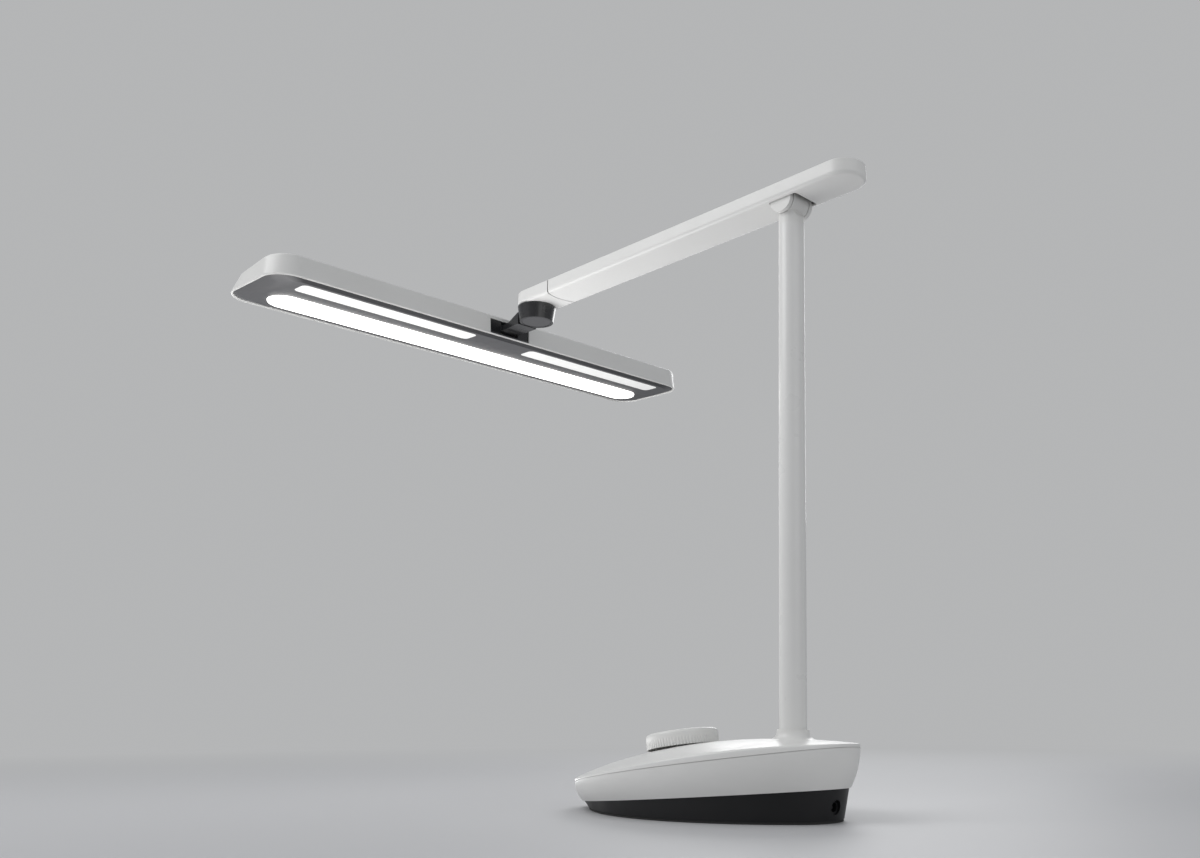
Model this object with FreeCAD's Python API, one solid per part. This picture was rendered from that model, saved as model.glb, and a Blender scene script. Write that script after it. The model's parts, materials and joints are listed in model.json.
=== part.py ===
# Desk lamp: a wedge base with a dial, an upright post, a tilting arm, and a long light head
# that swivels and tilts under the arm's end.
# Millimetres and degrees. The origin lies on the table under the post axis, +Z is up,
# -Y is the user's side and +X is to the right of somebody who looks along +Y.
import FreeCAD
import Part
import math
import os
from FreeCAD import Rotation, Vector

os.makedirs("parts", exist_ok=True)

RIGHT = Vector(1, 0, 0)
BACK = Vector(0, 1, 0)
UP = Vector(0, 0, 1)
ORIGIN = Vector(0, 0, 0)

# ---- Clearances -----------------------------------------------------------------------------
pin_gap = 0.05            # radial, round pieces that turn or slide in each other
slip_gap = 0.15           # moulded pieces that drop into each other
turn_gap = 0.35           # faces that pass each other when a joint moves

# ---- Base outline: four tangent arcs, measured along the seam plane --------------------------
base_front = 211.5        # post axis to the front tip
base_back = 47.0          # post axis to the back
nose_radius = 28.0
tail_radius = 44.0
flank_radius = 169.0
seam_height = 42.4        # seam plane above the table, at the post axis
seam_tilt = 7.07          # the seam plane falls towards the front
skirt_height = 18.9       # lower edge of the white wall above the table, at the post axis
skirt_tilt = 4.12
skirt_tuck = 7.0          # how far that lower edge lies inside the seam outline
belly_share = 0.55        # the wall's fullest section, as a share of the way down
belly_tuck = 2.3

# ---- Base crown: a side profile turned about a long axis that rises to the front -------------
crown_overrun = 18.0      # the side profile's end points lie this far beyond the outline
crown_back_rise = 6.5     # side profile's points above the seam's height at the post
crown_dial_rise = 3.3
crown_front_drop = 28.4
crown_roll_radius = 126.0
crown_roll_tilt = 39.7
crown_edge_round = 1.6

# ---- Base pieces -----------------------------------------------------------------------------
body_wall = 2.4
cover_skin = 2.2
lip_wall = 1.6
lip_depth = 3.0
shadow_gap_height = 0.5
shadow_gap_depth = 0.9
pad_thickness = 1.6
pad_inset = 12.3
plinth_step = 1.2         # the black plinth stands back under the white wall's edge
plinth_foot_inset = 11.8
plinth_floor = 2.4
plinth_wall = 2.4
weight_inset = 26.0
weight_front_margin = 3.0 # counterweight in front of the board
weight_thickness = 14.0
weight_relief = 0.8       # round the power inlet
case_boss_radius = 4.0
case_screw_radius = 1.45
case_head_radius = 2.8
case_head_height = 1.9
case_boss_height = 4.0    # plinth boss above the plinth floor
case_thread_length = 9.0
case_back_margin = 30.0   # screw rows in from the back and from the front tip
case_back_spread = 19.0
case_front_margin = 61.5
case_front_spread = 35.0

# ---- Dial ------------------------------------------------------------------------------------
dial_ahead = 106.0
dial_radius = 27.0
dial_height = 11.0
dial_wall = 2.2
dial_top_round = 2.4
dial_draft = 0.7
flute_count = 72
flute_radius = 0.55
flute_top_margin = 2.9
dial_seat_depth = 1.9
dial_seat_margin = 0.6
dial_travel = 0.8
dial_lift = 1.3           # dial rim above its seat when it is not pressed
insert_margin = 6.5
insert_thickness = 1.4
shaft_radius = 3.0
shaft_length = 15.0
dial_boss_radius = 5.5
encoder_side = 13.0
encoder_depth = 6.5
bushing_radius = 4.5
bushing_rise = 2.9        # bushing above the seat
encoder_nut_radius = 6.4
encoder_nut_height = 1.9

# ---- Post ------------------------------------------------------------------------------------
post_radius = 9.75
post_wall = 1.5
collar_rise = 6.4         # moulded flare of the cover round the post
collar_wall = 1.35
collar_flare = 5.6
socket_wall = 2.2
socket_flange_radius = 19.5
socket_flange = 4.0
socket_height = 24.0
socket_screw_circle = 15.8
socket_screw_radius = 2.0
socket_head_radius = 3.4
socket_head_height = 3.0
socket_screw_depth = 10.0
lead_radius = 1.7
lead_bend = 9.0
lead_rise = 4.4           # where the lead leaves the board, above its top

# ---- Electronics in the base -----------------------------------------------------------------
board_back_margin = 20.5  # behind the board, clear of the post's flange
board_length = 52.0
board_half_width = 24.0
board_thickness = 1.6
board_standoff = 3.0
board_hole_margin = 4.0
inlet_half_width = 5.0
inlet_height = 12.0
inlet_length = 14.0
inlet_socket_radius = 3.2
inlet_socket_depth = 9.5
inlet_pin_radius = 1.0
inlet_collar_radius = 4.6
inlet_recess = 0.8

# ---- Hub at the post's top and the arm's hinge -----------------------------------------------
hub_height = 450.3        # hinge axis above the table
hub_headroom = 0.8        # barrel under the arm's lid
ear_margin = 4.1          # arm's side to the ear's outer face
hub_neck_drop = 18.0      # tube end below the hinge axis
hub_waist = 6.6           # half-thickness of the neck under the barrel
hub_waist_drop = 9.0
hub_spigot_length = 22.0
hinge_pin_radius = 3.0
hinge_washer = 0.6
ear_thickness = 3.5
ear_cap_radius = 4.6
ear_cap_thickness = 1.0
rail_thickness = 2.0
rail_back = 34.0
rail_front = 46.0
rail_plate = 1.5
rail_plate_back = 17.0
rail_plate_front = 16.0

# ---- Arm -------------------------------------------------------------------------------------
arm_droop = 2.0           # the arm falls towards the head
arm_half_width = 17.3
arm_thickness = 12.6
arm_back = 50.0           # centre of the back end's half circle behind the hinge
arm_reach = 310.0         # hinge to the head's swivel axis
arm_wall = 1.8
arm_lid = 1.8
arm_corner = 3.0
arm_lid_round = 1.2
recess_gap = 0.4
recess_front = 12.2
recess_back = 14.8
recess_corner = 2.5
pad_rise = 1.7            # thickened floor under the hinge frame's plates
frame_screw_radius = 1.25
frame_head_radius = 2.5
frame_head_height = 1.8
cap_joint_radius = 35.5
cap_length = 32.5         # swivel axis back to the middle of the curved joint
cap_gap = 0.9
cap_gap_depth = 0.6
spigot_overlap = 12.0
spigot_wall = 2.6

# ---- Swivel under the arm's end --------------------------------------------------------------
drum_overhang = 0.1       # drum's top past the arm's half width
drum_taper = 2.1
drum_height = 14.6
drum_roof = 3.2
drum_wall = 2.3
drum_cap_ledge = 1.4
drum_cap_thickness = 1.6
drum_cap_recess = 0.3
swivel_bolt_radius = 3.0
swivel_head_radius = 5.0
swivel_head_height = 4.0
swivel_boss_radius = 8.0
swivel_headroom = 0.6
swivel_washer_radius = 7.0
swivel_washer = 0.8
spring_washer = 1.3
swivel_nut_radius = 5.0
swivel_nut_height = 3.6
eye_ahead = 44.9          # swivel axis to the head's tilt axis
eye_rise = 2.9            # tilt axis above the drum's underside
tongue_root_half_width = 10.5
tongue_tip_half_width = 9.4
tongue_sink = 0.4         # tongue's underside below the drum's
tongue_thickness = 5.4
gusset_high = 3.4

# ---- Head ------------------------------------------------------------------------------------
head_depth = 93.4         # the head hangs level
head_half_length = 231.0
head_back_corner = 21.2
head_front_corner = 21.6
head_back_rise = 19.2     # top above the rim, higher at the back than at the front
head_front_rise = 8.6
head_back_tuck = 2.6      # the walls lean in by this much at the top
head_front_tuck = 27.0
head_end_tuck = 0.4
head_edge_round = 2.2
head_wall = 1.6
rim_line = 1.5            # width of the white rim round the dark panel
ledge_width = 1.4
panel_recess = 0.5
panel_thickness = 1.6
pan_drop = 4.2            # the panel is a shallow pan that hangs below the rim
pan_side = 11.0           # its floor in from the ends, the front and the back
pan_front = 12.5
pan_back = 4.2
pan_lip = 2.5
pan_wall = 0.9
notch_half_width = 22.5
notch_depth = 14.5
notch_roof = 4.6          # left above the notch

# ---- Light -----------------------------------------------------------------------------------
strip_front_margin = 20.3 # main diffuser in from the front rim and from the ends
strip_width = 31.0
strip_end_margin = 24.0
strip_proud = 1.6         # below the pan's floor
slot_back = 7.6
slot_width = 19.8
slot_inner_margin = 8.5   # past the notch's side
slot_end_margin = 29.2
slot_corner = 5.0
flange_margin = 1.8
flange_thickness = 1.2
lens_wall = 1.8
board_lift = 4.0          # light boards above the pan's floor
light_board_thickness = 1.6
chip_size = 3.0
chip_height = 0.7
strip_chip_count = 30
slot_chip_count = 10
spreader_thickness = 1.5
spreader_back = 10.0
spreader_front_margin = 14.0
spreader_end_margin = 22.0
spreader_relief = 4.5
spreader_screw_inner = 70.0
spreader_screw_margin = 46.0
spreader_screw_depth = 2.0
spreader_head_height = 1.6
head_screw_radius = 1.3
head_screw_head_radius = 2.4
head_boss_radius = 3.4

# ---- Head hinge ------------------------------------------------------------------------------
tilt_axis_inset = 6.0     # in from the back rim
tilt_axis_rise = 8.2      # above the rim
eye_radius = 4.4
tilt_pin_radius = 2.0
tilt_washer = 0.6
block_back_step = 2.2
block_slot_front = 5.2    # slot in front of the tilt axis
block_foot_length = 11.0
block_foot_thickness = 2.4
block_foot_rise = 1.7     # foot above the panel, room for the screw heads
block_foot_side = 2.5     # foot's sides in from the notch's
block_screw_side = 7.5
block_screw_ahead = 5.9   # notch's front to the foot's screws
block_screw_depth = 5.0
block_head_height = 1.4


# ---- Shapes used more than once ----------------------------------------------------------------
def cylinder(radius, low, high, x=0.0, y=0.0):
    return Part.makeCylinder(radius, high - low, Vector(x, y, low))


def ring(outer, inner, low, high, x=0.0, y=0.0):
    return cylinder(outer, low, high, x, y).cut(cylinder(inner, low, high, x, y))


def crosswise(radius, left, right, y=0.0, z=0.0):
    return Part.makeCylinder(radius, right - left, Vector(left, y, z), RIGHT)


def block(left, right, front, back, low, high):
    return Part.makeBox(right - left, back - front, high - low, Vector(left, front, low))


def hexagon(radius, low, high, x=0.0, y=0.0):
    corners = [
        Vector(x + radius * math.cos(math.radians(60 * i)), y + radius * math.sin(math.radians(60 * i)), low)
        for i in range(7)
    ]
    return Part.Face(Part.makePolygon(corners)).extrude(UP * (high - low))


def rounded_rectangle(left, right, front, back, front_corner, back_corner, z):
    """Closed wire with one radius for the two front corners and one for the two at the back."""
    dip_front = front_corner * (1 - math.sqrt(0.5))
    dip_back = back_corner * (1 - math.sqrt(0.5))
    edges = [
        Part.LineSegment(Vector(left + front_corner, front, z), Vector(right - front_corner, front, z)),
        Part.Arc(
            Vector(right - front_corner, front, z),
            Vector(right - dip_front, front + dip_front, z),
            Vector(right, front + front_corner, z),
        ),
        Part.LineSegment(Vector(right, front + front_corner, z), Vector(right, back - back_corner, z)),
        Part.Arc(
            Vector(right, back - back_corner, z),
            Vector(right - dip_back, back - dip_back, z),
            Vector(right - back_corner, back, z),
        ),
        Part.LineSegment(Vector(right - back_corner, back, z), Vector(left + back_corner, back, z)),
        Part.Arc(
            Vector(left + back_corner, back, z),
            Vector(left + dip_back, back - dip_back, z),
            Vector(left, back - back_corner, z),
        ),
        Part.LineSegment(Vector(left, back - back_corner, z), Vector(left, front + front_corner, z)),
        Part.Arc(
            Vector(left, front + front_corner, z),
            Vector(left + dip_front, front + dip_front, z),
            Vector(left + front_corner, front, z),
        ),
    ]
    return Part.Wire([edge.toShape() for edge in edges])


def slab(left, right, front, back, corner, low, high):
    outline = rounded_rectangle(left, right, front, back, corner, corner, low)
    return Part.Face(outline).extrude(UP * (high - low))


def stadium(half_width, front, back, low, high):
    """Plank with half-round ends; front and back are the centres of the ends."""
    outline = Part.Wire([
        Part.LineSegment(Vector(half_width, front, low), Vector(half_width, back, low)).toShape(),
        Part.Arc(
            Vector(half_width, back, low), Vector(0, back + half_width, low), Vector(-half_width, back, low)
        ).toShape(),
        Part.LineSegment(Vector(-half_width, back, low), Vector(-half_width, front, low)).toShape(),
        Part.Arc(
            Vector(-half_width, front, low), Vector(0, front - half_width, low), Vector(half_width, front, low)
        ).toShape(),
    ])
    return Part.Face(outline).extrude(UP * (high - low))


def cut_all(body, tools):
    for tool in tools:
        body = body.cut(tool)
    return body


def fuse_all(pieces):
    body = pieces[0]
    for piece in pieces[1:]:
        body = body.fuse(piece)
    return body.removeSplitter()


def save(name, *solids):
    shape = solids[0] if len(solids) == 1 else Part.makeCompound(list(solids))
    shape.exportStep(f"parts/{name}.step")
    count = len(shape.Solids)
    print(f"{name}: {count} solid(s), {shape.Volume / 1000:.2f} cm3, valid {shape.isValid()}")


# ---- Sizes that follow from the ones above -------------------------------------------------------
lid_low = arm_thickness - arm_lid
hub_radius = lid_low - hub_headroom
ear_outer = arm_half_width - ear_margin
ear_inner = ear_outer - ear_thickness
hub_half_length = ear_inner - hinge_washer - 2 * pin_gap
recess_half_width = ear_outer + recess_gap
swivel_boss_rise = lid_low - arm_wall - swivel_washer - spring_washer - swivel_nut_height - swivel_headroom
drum_top_radius = arm_half_width + drum_overhang
drum_low_radius = drum_top_radius - drum_taper
drum_cap_radius = drum_low_radius - drum_wall
drum_bore_radius = drum_cap_radius - drum_cap_ledge
tongue_low = drum_height + tongue_sink
tongue_high = tongue_low - tongue_thickness
eye_half_length = tongue_tip_half_width

# The head's tilt axis, first beside the arm's level underside, then where the drooping arm puts it.
droop = math.radians(arm_droop)
eye_y = -(arm_reach + eye_ahead)
eye_z = eye_rise - drum_height
tilt_y = eye_y * math.cos(droop) - eye_z * math.sin(droop)
tilt_axis_height = hub_height + eye_y * math.sin(droop) + eye_z * math.cos(droop)
rim_height = tilt_axis_height - tilt_axis_rise
rim_y = tilt_y + tilt_axis_inset
front_y = rim_y - head_depth
notch_lip = head_back_rise - notch_roof
slot_inner = notch_half_width + slot_inner_margin
slot_outer = head_half_length - slot_end_margin
strip_half_length = head_half_length - strip_end_margin
strip_y_front = front_y + strip_front_margin
strip_y_back = strip_y_front + strip_width
slot_y_back = rim_y - slot_back
slot_y_front = slot_y_back - slot_width
spreader_screw_y = (slot_y_front + strip_y_back) / 2
insert_radius = dial_radius - insert_margin

# ---- Base outline ------------------------------------------------------------------------------
tail_centre = base_back - tail_radius
nose_centre = nose_radius - base_front
egg_span = tail_centre - nose_centre
flank_to_nose = flank_radius - nose_radius
flank_to_tail = flank_radius - tail_radius
flank_along = (egg_span ** 2 + flank_to_nose ** 2 - flank_to_tail ** 2) / (2 * egg_span)
flank_centre = Vector(-math.sqrt(flank_to_nose ** 2 - flank_along ** 2), nose_centre + flank_along, 0)
half_width = flank_radius + flank_centre.x


def mirrored(point):
    return Vector(-point.x, point.y, point.z)


def egg_wire(inset, height, tilt):
    """The base outline, set in by a distance and laid on a plane that falls to the front."""
    nose_way = (Vector(0, nose_centre, 0) - flank_centre).normalize()
    tail_way = (Vector(0, tail_centre, 0) - flank_centre).normalize()
    nose_end = flank_centre + nose_way * (flank_radius - inset)
    tail_end = flank_centre + tail_way * (flank_radius - inset)
    flank_middle = flank_centre + RIGHT * (flank_radius - inset)
    nose_tip = Vector(0, nose_centre - nose_radius + inset, 0)
    tail_tip = Vector(0, tail_centre + tail_radius - inset, 0)
    outline = Part.Wire([
        Part.Arc(nose_end, flank_middle, tail_end).toShape(),
        Part.Arc(tail_end, tail_tip, mirrored(tail_end)).toShape(),
        Part.Arc(mirrored(tail_end), mirrored(flank_middle), mirrored(nose_end)).toShape(),
        Part.Arc(mirrored(nose_end), nose_tip, nose_end).toShape(),
    ])
    outline.rotate(ORIGIN, RIGHT, tilt)
    outline.translate(UP * height)
    return outline


def seam_prism(inset, low, high):
    """Prism on the seam plane; low and high are measured square to that plane."""
    normal = Rotation(RIGHT, seam_tilt).multVec(UP)
    outline = egg_wire(inset, seam_height, seam_tilt)
    outline.translate(normal * low)
    return Part.Face(outline).extrude(normal * (high - low))


# ---- Base crown --------------------------------------------------------------------------------
crown_back = Vector(0, base_back + crown_overrun, seam_height + crown_back_rise)
crown_dial = Vector(0, -dial_ahead, seam_height + crown_dial_rise)
crown_front = Vector(0, -(base_front + crown_overrun), seam_height - crown_front_drop)
crown_arc = Part.Arc(crown_back, crown_dial, crown_front).toShape()
crown_circle = crown_arc.Curve
dial_normal = (crown_dial - crown_circle.Center).normalize()
dial_tilt = math.degrees(math.atan2(-dial_normal.y, dial_normal.z))
roll_normal = Vector(0, math.sin(math.radians(crown_roll_tilt)), math.cos(math.radians(crown_roll_tilt)))
roll_way = Vector(0, -math.cos(math.radians(crown_roll_tilt)), math.sin(math.radians(crown_roll_tilt)))
roll_point = crown_dial - roll_normal * crown_roll_radius


def crown_solid(drop):
    """Everything under the crown surface, lowered by a distance."""
    profile_ends = [crown_front, crown_back]
    feet = [roll_point + roll_way * ((end - roll_point).dot(roll_way)) for end in profile_ends]
    profile = Part.Wire([
        crown_arc,
        Part.LineSegment(crown_front, feet[0]).toShape(),
        Part.LineSegment(feet[0], feet[1]).toShape(),
        Part.LineSegment(feet[1], crown_back).toShape(),
    ])
    face = Part.Face(profile)
    face.rotate(roll_point, roll_way, 180)
    solid = face.revolve(roll_point, roll_way, 360)
    solid.translate(UP * -drop)
    return Part.Solid(solid) if solid.ShapeType != "Solid" else solid


def crest_height(y):
    """Height of the crown's middle line."""
    reach = math.sqrt(crown_circle.Radius ** 2 - (y - crown_circle.Center.y) ** 2)
    return crown_circle.Center.z + reach


def on_dial(shape):
    """Place a piece that is drawn upright over the origin on the crown at the dial."""
    shape.rotate(ORIGIN, RIGHT, dial_tilt)
    shape.translate(crown_dial)
    return shape


# ---- Case screws -------------------------------------------------------------------------------
case_stations = [
    (side * spread, -ahead)
    for ahead, spread in (
        (case_back_margin - base_back, case_back_spread), (base_front - case_front_margin, case_front_spread)
    )
    for side in (-1, 1)
]
plinth_low = pad_thickness
plinth_top = plinth_low + plinth_floor
case_boss_top = plinth_top + case_boss_height
case_head_top = plinth_low + case_head_height
case_counterbore_top = case_head_top + slip_gap

# ---- Bottom of the base ------------------------------------------------------------------------
save("non_slip_pad", Part.Face(egg_wire(pad_inset, 0, 0)).extrude(UP * pad_thickness))

plinth_outer = Part.makeLoft(
    [
        egg_wire(plinth_foot_inset, plinth_low, 0),
        egg_wire(skirt_tuck + plinth_step, skirt_height, skirt_tilt),
    ],
    True,
)
plinth_inner = Part.makeLoft(
    [
        egg_wire(plinth_foot_inset + plinth_wall, plinth_top, 0),
        egg_wire(skirt_tuck + plinth_step + plinth_wall, skirt_height + slip_gap, skirt_tilt),
    ],
    True,
)
inlet_y = tail_centre + tail_radius - plinth_foot_inset
inlet_z = plinth_top + inlet_height / 2
inlet_face = inlet_y - inlet_recess
inlet_axis_cut = Part.makeCylinder(
    inlet_collar_radius + slip_gap, inlet_length, Vector(0, inlet_face - plinth_wall * 3, inlet_z), BACK
)
plinth_bosses = [cylinder(case_boss_radius + 1, plinth_low, case_boss_top, x, y) for x, y in case_stations]
plinth_bores = [
    cylinder(case_screw_radius + slip_gap, plinth_low, case_boss_top, x, y) for x, y in case_stations
]
plinth_counterbores = [
    cylinder(case_head_radius + slip_gap, plinth_low, case_counterbore_top, x, y) for x, y in case_stations
]
bottom_plinth = fuse_all([plinth_outer.cut(plinth_inner)] + plinth_bosses)
bottom_plinth = cut_all(bottom_plinth, plinth_bores + plinth_counterbores + [inlet_axis_cut])
save("bottom_plinth", bottom_plinth)

case_screws = [
    cylinder(case_head_radius, plinth_low + slip_gap, case_counterbore_top, x, y).fuse(
        cylinder(case_screw_radius, case_counterbore_top, case_boss_top + case_thread_length, x, y)
    )
    for x, y in case_stations
]
save("case_screws", *case_screws)


# ---- White wall of the base --------------------------------------------------------------------
def wall_solid(inset):
    belly_height = seam_height + (skirt_height - seam_height) * belly_share
    belly_tilt = seam_tilt + (skirt_tilt - seam_tilt) * belly_share
    return Part.makeLoft(
        [
            egg_wire(inset, seam_height, seam_tilt),
            egg_wire(inset + belly_tuck, belly_height, belly_tilt),
            egg_wire(inset + skirt_tuck, skirt_height, skirt_tilt),
        ],
        True,
    )


base_body = wall_solid(0).cut(wall_solid(body_wall))
save("base_body", base_body)

# ---- Top cover ---------------------------------------------------------------------------------
lip_inset = body_wall + slip_gap
cavity_inset = lip_inset + lip_wall
crown_room = seam_height * 2
cover_shell = seam_prism(0, 0, crown_room).common(crown_solid(0))
seam_normal = Rotation(RIGHT, seam_tilt).multVec(UP)
rim_edges = [
    edge for edge in cover_shell.Edges
    if (edge.CenterOfMass - UP * seam_height).dot(seam_normal) > crown_edge_round
    and abs(edge.tangentAt((edge.FirstParameter + edge.LastParameter) / 2).dot(seam_normal)) < 0.7
]
cover_shell = cover_shell.makeFillet(crown_edge_round, rim_edges)
collar_radius = post_radius + slip_gap + collar_wall
collar_top = crest_height(0) + collar_rise
cover_shell = cover_shell.fuse(cylinder(collar_radius, seam_height, collar_top))
collar_foot = [
    edge for edge in cover_shell.Edges
    if edge.BoundBox.XLength < 2.2 * collar_radius
    and edge.BoundBox.YLength < 2.2 * collar_radius
    and edge.BoundBox.XLength > 1.8 * collar_radius
    and abs(edge.CenterOfMass.y) < 1
    and edge.CenterOfMass.z < collar_top - collar_rise / 2
]
cover_shell = cover_shell.makeFillet(collar_flare, collar_foot)
lip_floor = seam_prism(0, -lip_depth, 0)
lip = seam_prism(lip_inset, 0, cover_skin).fuse(wall_solid(lip_inset).common(lip_floor))
seat_radius = dial_radius + dial_seat_margin
dial_seat = on_dial(cylinder(seat_radius, -dial_seat_depth, dial_height))
dial_floor = on_dial(cylinder(seat_radius + cover_skin, -dial_seat_depth - cover_skin, dial_seat_depth))
cavity = seam_prism(cavity_inset, -lip_depth, crown_room).common(crown_solid(cover_skin)).cut(dial_floor)
cover_bosses = [cylinder(case_boss_radius, case_boss_top, crown_room, x, y) for x, y in case_stations]
boss_limit = crown_solid(cover_skin / 2)
cover_bosses = [boss.common(boss_limit) for boss in cover_bosses]
pilot_bores = [
    cylinder(case_screw_radius + pin_gap, case_boss_top, case_boss_top + case_thread_length + 1, x, y)
    for x, y in case_stations
]
shadow_gap = seam_prism(-1, -0.01, shadow_gap_height).cut(seam_prism(shadow_gap_depth, -0.01, shadow_gap_height))
base_top_cover = cover_shell.fuse(lip).cut(cavity)
base_top_cover = fuse_all([base_top_cover] + cover_bosses)
base_top_cover = cut_all(
    base_top_cover,
    pilot_bores + [
        shadow_gap,
        dial_seat,
        cylinder(post_radius + slip_gap, 0, collar_top + 1),
        on_dial(cylinder(bushing_radius + pin_gap, -dial_height, dial_height)),
    ],
)
save("base_top_cover", base_top_cover)

# ---- Counterweight and post socket -------------------------------------------------------------
weight_top = plinth_top + weight_thickness
board_back = socket_flange_radius + board_back_margin
board_front = board_back + board_length
weight_front = board_front + weight_front_margin
board_low = weight_top + board_standoff
board_top = board_low + board_thickness
lead_height = board_top + lead_rise
socket_top = weight_top + socket_height
screw_spots = [
    (
        socket_screw_circle * math.cos(math.radians(45 + 90 * i)),
        socket_screw_circle * math.sin(math.radians(45 + 90 * i)),
    )
    for i in range(4)
]
counterweight = Part.Face(egg_wire(weight_inset, plinth_top, 0)).extrude(UP * weight_thickness)
counterweight = counterweight.cut(
    block(-half_width, half_width, -base_front, -weight_front, 0, weight_top + 1)
)
flange_top = weight_top + socket_flange
socket_thread_end = weight_top - socket_screw_depth
inlet_front = inlet_face - plinth_wall - inlet_length
counterweight = cut_all(
    counterweight,
    [block(
        -inlet_half_width - weight_relief, inlet_half_width + weight_relief,
        inlet_front - weight_relief, base_back, 0, weight_top + 1,
    )] + [cylinder(socket_screw_radius + pin_gap, socket_thread_end, weight_top, x, y) for x, y in screw_spots],
)
save("counterweight", counterweight)

tube_radius = post_radius + pin_gap
lead_y = -(post_radius - post_wall - lead_radius - slip_gap)
lead_slot = block(
    -lead_radius - turn_gap, lead_radius + turn_gap,
    -(post_radius + socket_wall + 1), lead_y,
    lead_height - lead_radius - turn_gap, lead_height + lead_bend + lead_radius,
)
post_socket = fuse_all([
    cylinder(post_radius + pin_gap + socket_wall, weight_top, socket_top),
    cylinder(socket_flange_radius, weight_top, flange_top),
])
post_socket = cut_all(
    post_socket,
    [cylinder(tube_radius, weight_top, socket_top), lead_slot]
    + [cylinder(socket_screw_radius + slip_gap, weight_top, flange_top, x, y) for x, y in screw_spots],
)
save("post_socket", post_socket)

socket_screws = [
    cylinder(socket_head_radius, flange_top, flange_top + socket_head_height, x, y).fuse(
        cylinder(socket_screw_radius, socket_thread_end + 1, flange_top, x, y)
    )
    for x, y in screw_spots
]
save("socket_screws", *socket_screws)

# ---- Post and hub ------------------------------------------------------------------------------
tube_top = hub_height - hub_neck_drop
post_tube = ring(post_radius, post_radius - post_wall, weight_top, tube_top).cut(lead_slot)
save("post_tube", post_tube)


def hub_neck_profile():
    """Side view of the neck: straight from the tube, then drawn in by two arcs to the barrel."""
    low = hub_height - hub_neck_drop
    waist = hub_height - hub_waist_drop
    middle = (low + waist) / 2
    bulge = (post_radius - hub_waist) * 0.36
    return Part.Wire([
        Part.LineSegment(Vector(0, -post_radius, low), Vector(0, post_radius, low)).toShape(),
        Part.Arc(
            Vector(0, post_radius, low),
            Vector(0, hub_waist + (post_radius - hub_waist) / 2 + bulge, middle),
            Vector(0, hub_waist, waist),
        ).toShape(),
        Part.LineSegment(Vector(0, hub_waist, waist), Vector(0, hub_waist, hub_height)).toShape(),
        Part.LineSegment(Vector(0, hub_waist, hub_height), Vector(0, -hub_waist, hub_height)).toShape(),
        Part.LineSegment(Vector(0, -hub_waist, hub_height), Vector(0, -hub_waist, waist)).toShape(),
        Part.Arc(
            Vector(0, -hub_waist, waist),
            Vector(0, -hub_waist - (post_radius - hub_waist) / 2 - bulge, middle),
            Vector(0, -post_radius, low),
        ).toShape(),
    ])


hub_neck = Part.Face(hub_neck_profile()).extrude(RIGHT * (2 * post_radius))
hub_neck.translate(RIGHT * -post_radius)
hub_neck = hub_neck.common(cylinder(post_radius, tube_top, hub_height))
ear_sweep = hub_radius + turn_gap
for side in (-1, 1):
    inner = side * hub_half_length
    outer = side * (ear_outer + 1)
    hub_neck = hub_neck.cut(crosswise(ear_sweep, min(inner, outer), max(inner, outer), 0, hub_height))
hub_barrel = fuse_all([
    crosswise(hub_radius, -hub_half_length, hub_half_length, 0, hub_height),
    hub_neck,
    cylinder(post_radius - post_wall - pin_gap, tube_top - hub_spigot_length, tube_top),
])
hub_barrel = cut_all(hub_barrel, [
    crosswise(hinge_pin_radius + pin_gap, -ear_outer, ear_outer, 0, hub_height),
    cylinder(lead_radius + slip_gap, tube_top - hub_spigot_length, hub_height + hub_radius, 0, lead_y),
])
save("hub_barrel", hub_barrel)

lead_top = hub_height + math.sqrt(hub_radius ** 2 - (lead_y - lead_radius) ** 2)
lead_turn = lead_bend * (1 - math.sqrt(0.5))
lead_path = Part.Wire([
    Part.LineSegment(Vector(0, -board_back, lead_height), Vector(0, lead_y - lead_bend, lead_height)).toShape(),
    Part.Arc(
        Vector(0, lead_y - lead_bend, lead_height),
        Vector(0, lead_y - lead_turn, lead_height + lead_turn),
        Vector(0, lead_y, lead_height + lead_bend),
    ).toShape(),
    Part.LineSegment(Vector(0, lead_y, lead_height + lead_bend), Vector(0, lead_y, lead_top)).toShape(),
])
lead_circle = Part.Wire(Part.makeCircle(lead_radius, Vector(0, -board_back, lead_height), BACK))
save("post_lead", lead_path.makePipeShell([lead_circle], True, False))

# ---- Electronics -------------------------------------------------------------------------------
standoff_spots = [
    (side * (board_half_width - board_hole_margin), y)
    for side in (-1, 1)
    for y in (-board_back - board_hole_margin, -board_front + board_hole_margin)
]
standoff_radius = 2.6
board_screw_radius = 1.2
save("board_standoffs", *[
    ring(standoff_radius, board_screw_radius + pin_gap, weight_top, board_low, x, y) for x, y in standoff_spots
])
lead_socket_half_width = 6.0
lead_socket_length = 8.0
board_middle = -(board_back + board_front) / 2
chip_side = 9.0
coil_side = 8.0
coil_height = 4.5
capacitor_radius = 3.2
capacitor_height = 8.0
capacitor_x = board_half_width / 2 + capacitor_radius
capacitor_y = board_middle - 3 * capacitor_radius
control_board = fuse_all([
    block(-board_half_width, board_half_width, -board_front, -board_back, board_low, board_top),
    block(
        -lead_socket_half_width, lead_socket_half_width,
        -board_back - lead_socket_length, -board_back,
        board_top, lead_height + lead_radius + 1,
    ),
    block(
        -coil_side - chip_side, -chip_side, board_middle, board_middle + coil_side, board_top, board_top + coil_height
    ),
    block(0, chip_side, board_middle, board_middle + chip_side, board_top, board_top + board_thickness),
    cylinder(capacitor_radius, board_top, board_top + capacitor_height, capacitor_x, board_middle),
    cylinder(capacitor_radius, board_top, board_top + capacitor_height, capacitor_x, capacitor_y),
])
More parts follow.
